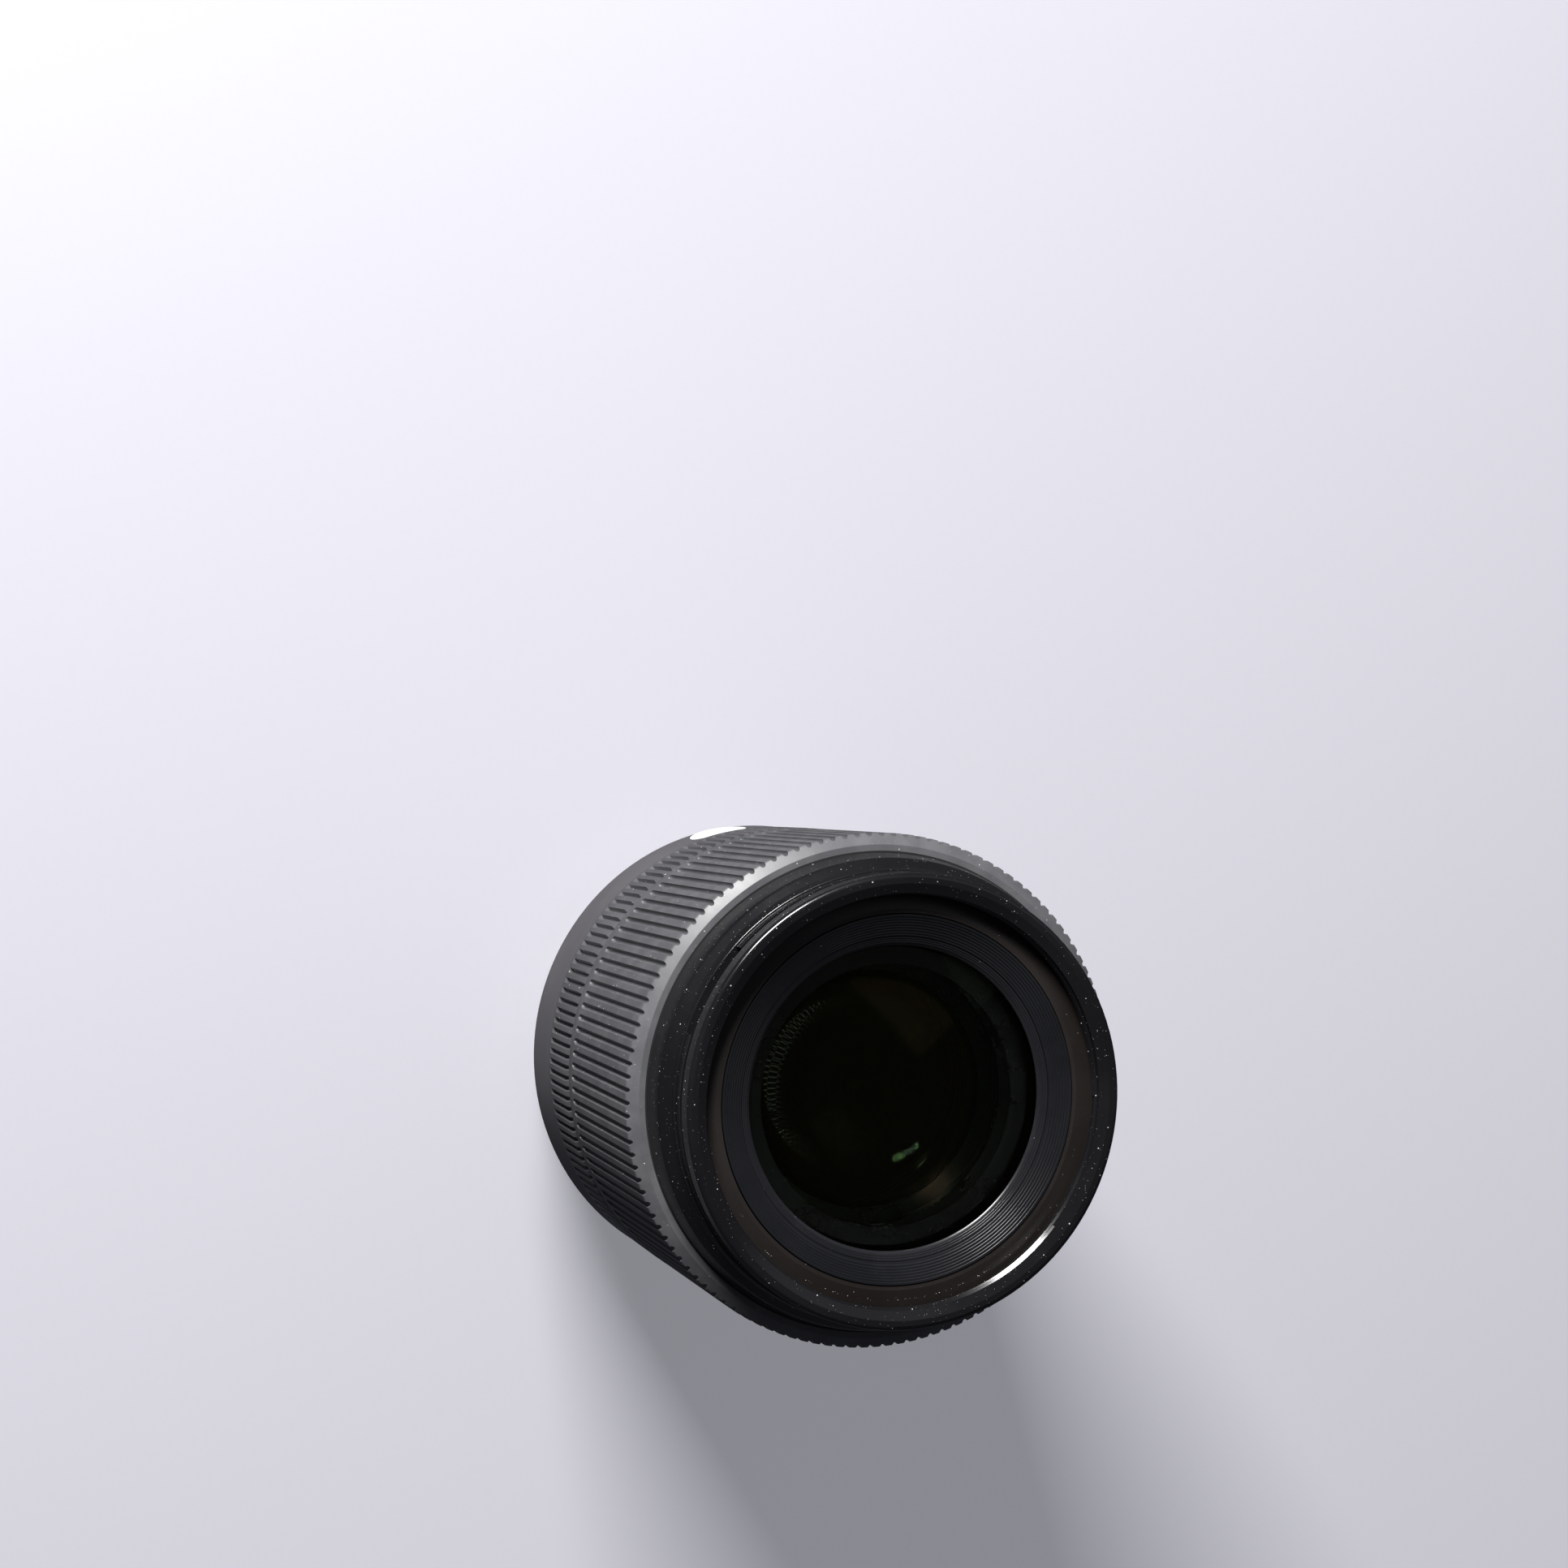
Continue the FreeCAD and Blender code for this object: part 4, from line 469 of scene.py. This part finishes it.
# polished glass whose coating tints what it mirrors; faint wiping marks change its polish
def glassFinish(name, look):
    material, tree, surface = newMaterial(name, {
        "Transmission Weight": 1.0, "Metallic": 0.0, "IOR": look["index"],
        "Specular Tint": (*look["coating"], 1)})
    tone = useGroup(tree, handledGroup, Colour=look["colour"], Light_Colour=look["lightColour"],
                    Roughness=look["roughness"], Roughness_Shift=look["roughnessShift"],
                    Scale=look["toneScale"])
    plug(tree, surface.inputs["Base Color"], tone.outputs["Colour"])
    plug(tree, surface.inputs["Roughness"], tone.outputs["Roughness"])
    return material


glassLook = {"index": 1.62, "colour": (0.74, 0.78, 0.7), "lightColour": (0.8, 0.83, 0.76),
             "roughness": 0.004, "roughnessShift": 0.006, "toneScale": 55.0}
coatings = {"greenCoat": (0.09, 0.13, 0.06), "amberCoat": (0.3, 0.17, 0.07), "blueCoat": (0.07, 0.08, 0.13)}


# solder mask with copper tracks under it
def boardFinish(name, look):
    material, tree, surface = newMaterial(name, look["shader"])
    tracks = tree.nodes.new("ShaderNodeTexBrick")
    plug(tree, tracks.inputs["Vector"], objectPlace(tree))
    tracks.inputs["Scale"].default_value = look["trackScale"]
    tracks.inputs["Mortar Size"].default_value = look["trackGap"]
    mask = maths(tree, "GREATER_THAN", tracks.outputs["Fac"], 0.5)
    plug(tree, surface.inputs["Base Color"], blendColours(tree, mask, look["colour"], look["trackColour"]))
    cloud = noiseOf(tree, look["toneScale"], look["toneDetail"])
    plug(tree, surface.inputs["Roughness"], rangeOf(tree, cloud, *look["toneRange"], *look["roughness"]))
    addBump(tree, surface, mask, look["trackDepth"])
    return material


# amber film with copper lines along it
def ribbonFinish(name, look):
    material, tree, surface = newMaterial(name, look["shader"])
    split = tree.nodes.new("ShaderNodeSeparateXYZ")
    tree.links.new(objectPlace(tree), split.inputs[0])
    wave = maths(tree, "SINE", maths(tree, "MULTIPLY", split.outputs[1], look["lines"]))
    mask = rangeOf(tree, wave, *look["copperEdge"])
    plug(tree, surface.inputs["Base Color"], blendColours(tree, mask, look["colour"], look["copper"]))
    plug(tree, surface.inputs["Roughness"], rangeOf(tree, wave, -1.0, 1.0, *look["roughness"]))
    addBump(tree, surface, mask, look["lineDepth"])
    return material


boardLook = {
    "colour": (0.012, 0.1, 0.035), "trackColour": (0.03, 0.17, 0.06), "trackScale": 900.0, "trackGap": 0.05,
    "trackDepth": 2.0e-5, "toneScale": 3000.0, "toneDetail": 2.0, "toneRange": (0.3, 0.7),
    "roughness": (0.28, 0.4), "shader": {"Coat Weight": 0.6, "Coat Roughness": 0.1},
}
ribbonLook = {
    "colour": (0.5, 0.22, 0.05), "copper": (0.62, 0.36, 0.14), "lines": 9000.0, "copperEdge": (0.1, 0.4),
    "lineDepth": 1.5e-5, "roughness": (0.42, 0.25), "shader": {"Coat Weight": 0.4},
}
finishes = {name: coatedFinish(name, look) for name, look in looks.items()}
finishes.update({name: turnedFinish(name, look) for name, look in metals.items()})
for name, tint in coatings.items():
    finishes[name] = glassFinish(name, {**glassLook, "coating": tint})
finishes["boardMask"] = boardFinish("boardMask", boardLook)
finishes["ribbonAmber"] = ribbonFinish("ribbonAmber", ribbonLook)
slotFinish = {
    "satin_barrel": "satinBarrel", "ribbed_ring": "ringPlastic", "gloss_band": "bandPlastic",
    "trim_brown": "trimBrown", "inner_black": "innerMatte", "retainer_black": "retainerAnodised",
    "mount_steel": "mountSteel", "motor_steel": "motorCan", "contact_gold": "contactGold",
    "badge_silver": "badgeMetal", "index_white": "indexEnamel", "blade_black": "bladeCoat",
    "ring_black": "ringMoulding", "encoder_silver": "encoderStrip", "coated_glass": "greenCoat",
    "board_green": "boardMask", "cable_amber": "ribbonAmber",
}
ownFinish = {
    "front_barrel": "frontBarrelPaint", "front_cell": "cellBlack", "lens_element_2": "amberCoat",
    "lens_element_4": "blueCoat", "lens_element_5": "amberCoat", "lens_element_8": "blueCoat",
    "lens_element_9": "amberCoat",
}
slotOf = {part["node"]: part["material_slot"] for part in frame["record"]["subparts"]}
for node, piece in cadNodes.items():
    finish = finishes[ownFinish.get(node, slotFinish[slotOf[node]])]
    for place in piece.material_slots:
        place.material = finish
print("finishes made:", len(finishes))


# sizes in millimetres from here on, heights from the mount's rear edge
focusRing = {
    "inside": 30.16, "rearZ": 37.12, "grooveRearZ": 39.1, "grooveFrontZ": 67.4, "crestZ": 66.3,
    "frontZ": 67.3, "rearRadius": 30.995, "grooveRearRadius": 31.087, "crestRadius": 32.35,
    "faceRadius": 30.95, "rearRounding": 0.4, "crestRounding": 0.45, "faceRounding": 0.15, "grooves": 125,
    "grooveHalfWidth": 0.42, "grooveDepth": 0.52, "grooveEnd": 0.8, "edgeSoftness": 0.09,
}
gripBand = {
    "inside": 29.66, "rearZ": 26.42, "frontZ": 36.7, "rearRadius": 30.49, "frontRadius": 30.95,
    "rearStep": 0.15, "chamfer": 1.3, "chamferDepth": 0.6, "grooves": 142, "grooveTopHalf": 0.34,
    "grooveFloorHalf": 0.2, "grooveDepth": 0.46, "grooveRearZ": 26.85, "rampLength": 0.45, "runOut": 0.6,
    "cutterLift": 0.3, "edgeSoftness": 0.05,
}
# how a pitch is meshed and how its rims and sides are found; angles in degrees, the rim's margin in metres
ribbing = {"stepsPerPitch": 10, "sideTolerance": 0.002, "rimAngle": 34, "rimShare": 0.45, "rimMargin": 1e-5,
           "bevelSegments": 2, "smoothAngle": 32.0, "cutterSegments": 20, "cutterRings": 10}


def spinRound(steps, degrees, **options):
    bpy.ops.mesh.spin(steps=steps, angle=math.radians(degrees), center=(0, 0, 0), axis=(0, 0, 1), **options)


# one pitch of a turned ring is cut by the cutter, softened and repeated right round
def makeRibbedRing(name, corners, cutter, ring):
    pitch = 360.0 / ring["grooves"]
    piece = drawProfile(name, softCorners(corners))
    pickAll()
    bpy.ops.transform.rotate(value=math.radians(-pitch / 2), orient_axis="Z", center_override=(0, 0, 0))
    bpy.ops.mesh.edge_face_add()
    spinRound(ribbing["stepsPerPitch"], pitch)
    weldMesh(weldGap)
    cut = piece.modifiers.new("groove", "BOOLEAN")
    cut.operation = "DIFFERENCE"
    cut.solver = "EXACT"
    cut.object = cutter
    applyAll(piece)
    bpy.data.objects.remove(cutter)
    openSides(piece, pitch)
    softenRims(piece, ring, pitch)
    pickAll()
    spinRound(ring["grooves"] - 1, 360.0 - pitch, dupli=True)
    weldMesh(pitchWeldGap)
    smoothPiece(piece, ribbing["smoothAngle"])
    return piece


# takes off the two flat sides where one pitch meets the next
def openSides(piece, pitch):
    selectOnly(piece)
    editOn("FACE")
    bpy.ops.mesh.select_all(action="DESELECT")
    editOff()
    for face in piece.data.polygons:
        turn = math.degrees(math.atan2(face.center.y, face.center.x))
        face.select = abs(abs(turn) - pitch / 2) < ribbing["sideTolerance"]
    editOn("FACE")
    bpy.ops.mesh.delete(type="ONLY_FACE")


# rounds the edges where a groove meets the lands and the ends
def softenRims(piece, ring, pitch):
    bpy.ops.mesh.select_mode(type="EDGE")
    bpy.ops.mesh.select_all(action="DESELECT")
    editOff()
    flats = {}
    for face in piece.data.polygons:
        for key in face.edge_keys:
            flats.setdefault(key, []).append(face.normal)
    low, high = (ring[end] * mm - ribbing["rimMargin"] for end in ("grooveRearZ", "frontZ"))
    vertices = piece.data.vertices
    for edge in piece.data.edges:
        middle = (vertices[edge.vertices[0]].co + vertices[edge.vertices[1]].co) / 2
        turn = abs(math.degrees(math.atan2(middle.y, middle.x)))
        normals = flats.get(edge.key, [])
        inGroove = low < middle.z < high and turn < pitch * ribbing["rimShare"]
        sharp = len(normals) == 2 and normals[0].angle(normals[1]) > math.radians(ribbing["rimAngle"])
        edge.select = inGroove and sharp
    editOn("EDGE")
    bpy.ops.mesh.bevel(offset=ring["edgeSoftness"] * mm, segments=ribbing["bevelSegments"], profile=0.5,
                       clamp_overlap=True)


# one long rounded cutter that lies along the ring's taper and runs out over the shoulder
def makeGrooveCutter(ring):
    rear = Vector((ring["grooveRearRadius"], 0, ring["grooveRearZ"])) * mm
    crest = Vector((ring["crestRadius"], 0, ring["crestZ"])) * mm
    share = (ring["grooveFrontZ"] - ring["grooveRearZ"]) / (ring["crestZ"] - ring["grooveRearZ"])
    front = rear + (crest - rear) * share
    along = front - rear
    bar = along.length - 2 * ring["grooveEnd"] * mm
    deselectAll()
    bpy.ops.mesh.primitive_uv_sphere_add(
        segments=ribbing["cutterSegments"], ring_count=ribbing["cutterRings"], radius=mm)
    cutter = named("grooveCutter")
    editOn()
    pickAll()
    bpy.ops.transform.resize(value=(ring["grooveDepth"], ring["grooveHalfWidth"], ring["grooveEnd"]))
    editOff()
    selectVertices(cutter, lambda spot: spot.z > weldGap)
    bpy.ops.transform.translate(value=(0, 0, bar))
    pickAll()
    bpy.ops.transform.translate(value=(0, 0, -bar / 2))
    editOff()
    lean = math.atan2(along.x, along.z)
    cutter.matrix_world = Matrix.Translation((rear + front) / 2) @ Matrix.Rotation(lean, 4, "Y")
    return cutter


def selectVertices(piece, test):
    editOn()
    bpy.ops.mesh.select_all(action="DESELECT")
    editOff()
    for vertex in piece.data.vertices:
        vertex.select = test(vertex.co)
    editOn()


# a bar with sloping walls whose rear end ramps up to the surface
def makeFluteCutter(band):
    slope = (band["frontRadius"] - band["rearRadius"]) / (band["frontZ"] - band["rearZ"])
    rearRadius = band["rearRadius"] + slope * (band["grooveRearZ"] - band["rearZ"])
    length = band["frontZ"] + band["runOut"] - band["grooveRearZ"]
    lift = band["cutterLift"]
    wall = (band["grooveTopHalf"] - band["grooveFloorHalf"]) / band["grooveDepth"]
    deselectAll()
    bpy.ops.mesh.primitive_cube_add(size=mm)
    cutter = named("fluteCutter")
    editOn()
    pickAll()
    bpy.ops.transform.translate(value=(-mm / 2, 0, mm / 2))
    block = (band["grooveDepth"] + lift, 2 * band["grooveFloorHalf"], length)
    bpy.ops.transform.resize(value=block, center_override=(0, 0, 0))
    editOff()
    selectVertices(cutter, lambda spot: spot.x > -weldGap)
    widen = (band["grooveTopHalf"] + wall * lift) / band["grooveFloorHalf"]
    bpy.ops.transform.resize(value=(1, widen, 1), center_override=(0, 0, 0))
    editOff()
    selectVertices(cutter, lambda spot: spot.x < -weldGap and spot.z < weldGap)
    bpy.ops.transform.translate(value=(0, 0, band["rampLength"] * mm * (1 + lift / band["grooveDepth"])))
    pickAll()
    turnNormalsOut()
    editOff()
    lean = math.atan2(slope, 1.0)
    foot = Vector((rearRadius + lift, 0, band["grooveRearZ"])) * mm
    cutter.matrix_world = Matrix.Translation(foot) @ Matrix.Rotation(lean, 4, "Y")
    return cutter


# gives a finished piece its material, hides the node it replaces and puts the piece under its body
def finishPiece(piece, finish, body, replaced=None):
    dress(piece, finishes[finish])
    if replaced:
        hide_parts(replaced)
    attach(piece, body)


def ringCorners(ring):
    return [
        (ring["inside"], ring["rearZ"]), (ring["rearRadius"], ring["rearZ"], ring["rearRounding"]),
        (ring["grooveRearRadius"], ring["grooveRearZ"]),
        (ring["crestRadius"], ring["crestZ"], ring["crestRounding"]),
        (ring["faceRadius"], ring["frontZ"], ring["faceRounding"]), (ring["inside"], ring["frontZ"]),
    ]


def bandCorners(band):
    return [
        (band["inside"], band["rearZ"]), (band["rearRadius"] - band["rearStep"], band["rearZ"]),
        (band["rearRadius"], band["rearZ"] + band["rearStep"]),
        (band["frontRadius"], band["frontZ"] - band["chamfer"]),
        (band["frontRadius"] - band["chamferDepth"], band["frontZ"]), (band["inside"], band["frontZ"]),
    ]


focusPiece = makeRibbedRing("focusRing", ringCorners(focusRing), makeGrooveCutter(focusRing), focusRing)
finishPiece(focusPiece, "ringPlastic", "focus_ring", replaced="focus_grip")
print("focus ring made:", len(focusPiece.data.polygons), "faces")

bandPiece = makeRibbedRing("gripBand", bandCorners(gripBand), makeFluteCutter(gripBand), gripBand)
finishPiece(bandPiece, "bandPlastic", "barrel", replaced="grip_band")
print("grip band made:", len(bandPiece.data.polygons), "faces")


# turned rings with a rounded edge at each step; the steps go down towards the glass
frontRings = {
    "retainer": {
        "outer": 20.14, "top": 74.6, "foot": 72.12, "footInner": 19.6, "glassZ": 73.74, "steps": 3,
        "stepWidth": 0.26, "stepDrop": 0.12, "rounding": 0.07, "edgeGap": 0.05, "edgeWidth": 0.34,
        "edgeDrop": 0.26, "edgeRounding": 0.04},
    "cone": {
        "outer": 22.94, "inner": 20.24, "top": 75.62, "foot": 0.05, "footSlant": 0.07, "steps": 7,
        "flat": 0.3, "drop": 0.82, "rounding": 0.09, "innerRounding": 0.06},
}
turning = {"steps": 192, "smoothAngle": 40.0}


def turnRing(name, corners):
    piece = drawProfile(name, softCorners(corners))
    pickAll()
    spinRound(turning["steps"], 360.0)
    weldMesh(weldGap)
    smoothPiece(piece, turning["smoothAngle"])
    return piece


def stepsDown(outer, top, width, drop, count, rounding):
    corners = []
    for step in range(count):
        inner = outer - width * (step + 1)
        corners.append((inner, top - drop * step, rounding))
        corners.append((inner, top - drop * (step + 1)))
    return corners


def makeRetainer(ring):
    outer, top, foot, glassZ = ring["outer"], ring["top"], ring["foot"], ring["glassZ"]
    width, drop, count = ring["stepWidth"], ring["stepDrop"], ring["steps"]
    edge = outer - width * count - ring["edgeGap"]
    low = top - drop * count
    inner = edge - ring["edgeWidth"]
    corners = [(outer, top)] + stepsDown(outer, top, width, drop, count, ring["rounding"])
    corners += [(edge, low), (inner, low - ring["edgeDrop"], ring["edgeRounding"]), (inner, glassZ)]
    corners += [(ring["footInner"], glassZ), (ring["footInner"], foot), (outer, foot)]
    return turnRing("retainerRing", corners)


def makeCone(ring):
    outer, inner, top = ring["outer"], ring["inner"], ring["top"]
    width = (outer - inner - ring["flat"]) / ring["steps"]
    drop = ring["drop"] / ring["steps"]
    low = top - ring["drop"]
    corners = [(outer, top)] + stepsDown(outer, top, width, drop, ring["steps"], ring["rounding"])
    corners += [(inner, low, ring["innerRounding"]), (inner, low - ring["foot"])]
    corners.append((outer, top - ring["foot"] - ring["footSlant"]))
    return turnRing("coneSteps", corners)


retainerPiece = makeRetainer(frontRings["retainer"])
finishPiece(retainerPiece, "retainerAnodised", "barrel", replaced="front_retaining_ring")
conePiece = makeCone(frontRings["cone"])
finishPiece(conePiece, "cellBlack", "barrel")
print("front rings turned")


filterThread = {
    "wallRadius": 25.78, "crestRadius": 25.5, "rearZ": 75.68, "frontZ": 77.72, "pitch": 0.75, "foot": 0.62,
    "crestShares": (0.58, 0.42), "stepsPerTurn": 160, "smoothAngle": 25.0,
}


def makeFilterThread(thread):
    wall, crest, rear, foot = (thread[label] for label in ("wallRadius", "crestRadius", "rearZ", "foot"))
    outline = [(wall, rear), (wall, rear + foot)]
    outline += [(crest, rear + foot * share) for share in thread["crestShares"]]
    piece = drawProfile("filterThread", outline)
    editOff()
    turns = (thread["frontZ"] - rear - foot) / thread["pitch"]
    helix = piece.modifiers.new("helix", "SCREW")
    helix.axis = "Z"
    helix.angle = math.radians(360.0 * turns)
    helix.screw_offset = thread["pitch"] * turns * mm
    helix.steps = int(thread["stepsPerTurn"] * turns)
    helix.render_steps = helix.steps
    applyAll(piece)
    editOn()
    pickAll()
    bpy.ops.mesh.fill_holes(sides=0)
    turnNormalsOut()
    editOff()
    smoothPiece(piece, thread["smoothAngle"])
    return piece


threadPiece = makeFilterThread(filterThread)
finishPiece(threadPiece, "frontBarrelPaint", "barrel")
print("filter thread made")


# where loose dust has gathered, in millimetres and degrees
dustPlaces = {
    "hoodGroove": {
        "radius": 27.28, "heights": (73.2, 74.4), "angles": (130, 235), "grains": 230, "largest": 0.085},
    "threadCorner": {
        "radius": 25.95, "heights": (75.52, 75.6), "angles": (200, 385), "grains": 170, "largest": 0.075},
    "trimFace": {
        "radius": 24.8, "heights": (75.2, 75.35), "angles": (225, 330), "grains": 60, "largest": 0.06},
}
grainShape = {"seed": 52, "smallest": 0.3, "spread": 0.7, "fewLarge": 3, "scatter": (-0.05, 0.12),
              "lengths": (0.6, 1.5), "heights": (0.6, 1.0)}


def makeDust(places, kind):
    chance = random.Random(kind["seed"])
    deselectAll()
    bpy.ops.mesh.primitive_ico_sphere_add(subdivisions=1, radius=mm)
    seedGrain = named("dustGrain")
    grains = []
    for place in places.values():
        for _ in range(place["grains"]):
            turn = math.radians(chance.uniform(*place["angles"]))
            share = kind["smallest"] + kind["spread"] * chance.random() ** kind["fewLarge"]
            size = place["largest"] * share
            radius = place["radius"] + chance.uniform(*kind["scatter"])
            grain = seedGrain.copy()
            grain.data = seedGrain.data.copy()
            bpy.context.scene.collection.objects.link(grain)
            height = chance.uniform(*place["heights"])
            spot = Vector((radius * math.cos(turn), radius * math.sin(turn), height)) * mm
            length, thickness = chance.uniform(*kind["lengths"]), chance.uniform(*kind["heights"])
            shape = Matrix.Diagonal((size * length, size, size * thickness, 1))
            tumble = Matrix.Rotation(chance.uniform(0, math.tau), 4, "X")
            tumble = tumble @ Matrix.Rotation(chance.uniform(0, math.tau), 4, "Z")
            grain.data.transform(Matrix.Translation(spot) @ tumble @ shape)
            grains.append(grain)
    bpy.data.objects.remove(seedGrain)
    deselectAll()
    for grain in grains:
        grain.select_set(True)
    bpy.context.view_layer.objects.active = grains[0]
    bpy.ops.object.join()
    return named("dustGrains")


dustPiece = makeDust(dustPlaces, grainShape)
finishPiece(dustPiece, "dustFinish", "barrel")
print("dust laid:", len(dustPiece.data.polygons), "faces")


photoView = {
    "place": (-0.195037, 0.067539, 0.585762), "right": (0.94362, 0.018537, 0.3305),
    "up": (0.0, 0.99843, -0.056), "back": (-0.33102, 0.052843, 0.94214), "focalLength": 102.48,
    "sensor": 36.0, "nearest": 0.01,
}
studio = {
    "target": (0.0, 0.0, 0.045), "world": (0.05, 0.052, 0.06),
    "floor": {"size": 8.0, "colour": (0.38, 0.38, 0.42), "lighter": 1.03, "toneScale": 900.0,
              "toneDetail": 3.0, "roughness": 0.85, "glow": 0.6},
    "key": {"distance": 0.75, "size": 0.28, "power": 13.0, "tilt": 50.0, "side": 78.0,
            "colour": (1.0, 0.985, 0.975)},
    "fill": {"distance": 1.1, "size": 0.7, "power": 0.35, "tilt": 60.0, "side": 150.0,
             "colour": (0.9, 0.93, 1.0)},
}
back, right, up = (Vector(photoView[way]) for way in ("back", "right", "up"))


# a paper floor that only the camera sees, and only from above, so that it throws no light on the lens
def makeFloor(look):
    deselectAll()
    bpy.ops.mesh.primitive_plane_add(size=look["size"])
    floor = named("paperFloor")
    material, tree, surface = newMaterial("paperPale", {"Roughness": look["roughness"]})
    tone = noiseOf(tree, look["toneScale"], look["toneDetail"])
    lighter = tuple(channel * look["lighter"] for channel in look["colour"])
    plug(tree, surface.inputs["Base Color"], blendColours(tree, tone, look["colour"], lighter))
    side = tree.nodes.new("ShaderNodeNewGeometry").outputs["Backfacing"]
    seen = tree.nodes.new("ShaderNodeLightPath").outputs["Is Camera Ray"]
    plug(tree, surface.inputs["Emission Color"], look["colour"])
    plug(tree, surface.inputs["Emission Strength"], maths(tree, "MULTIPLY", seen, look["glow"]))
    clear = tree.nodes.new("ShaderNodeBsdfTransparent")
    shown = maths(tree, "MULTIPLY", seen, maths(tree, "SUBTRACT", 1.0, side))
    mix = tree.nodes.new("ShaderNodeMixShader")
    plug(tree, mix.inputs[0], shown)
    tree.links.new(clear.outputs[0], mix.inputs[1])
    tree.links.new(surface.outputs[0], mix.inputs[2])
    tree.links.new(mix.outputs[0], tree.nodes["Material Output"].inputs["Surface"])
    dress(floor, material)


def makeLamp(name, lamp):
    tilt, side = math.radians(lamp["tilt"]), math.radians(lamp["side"])
    way = back * math.cos(tilt) + (-right * math.cos(side) + up * math.sin(side)) * math.sin(tilt)
    data = bpy.data.lights.new(name, "AREA")
    data.shape = "SQUARE"
    data.size = lamp["size"]
    data.energy = lamp["power"]
    data.color = lamp["colour"]
    light = bpy.data.objects.new(name, data)
    light.location = Vector(studio["target"]) + way * lamp["distance"]
    light.rotation_euler = way.to_track_quat("Z", "Y").to_euler()
    bpy.context.scene.collection.objects.link(light)


def makeWorld():
    world = bpy.data.worlds.new("softRoom")
    world.use_nodes = True
    world.node_tree.nodes["Background"].inputs[0].default_value = (*studio["world"], 1)
    bpy.context.scene.world = world


def makeCamera():
    data = bpy.data.cameras.new("photoCamera")
    data.lens = photoView["focalLength"]
    data.sensor_width = photoView["sensor"]
    data.clip_start = photoView["nearest"]
    camera = bpy.data.objects.new("photoCamera", data)
    columns = Matrix((right, up, back)).transposed()
    camera.matrix_world = Matrix.Translation(photoView["place"]) @ columns.to_4x4()
    bpy.context.scene.collection.objects.link(camera)
    bpy.context.scene.camera = camera


makeFloor(studio["floor"])
makeLamp("keyLight", studio["key"])
makeLamp("fillLight", studio["fill"])
makeWorld()
makeCamera()
bpy.context.scene.view_settings.view_transform = "Standard"
print("studio set")
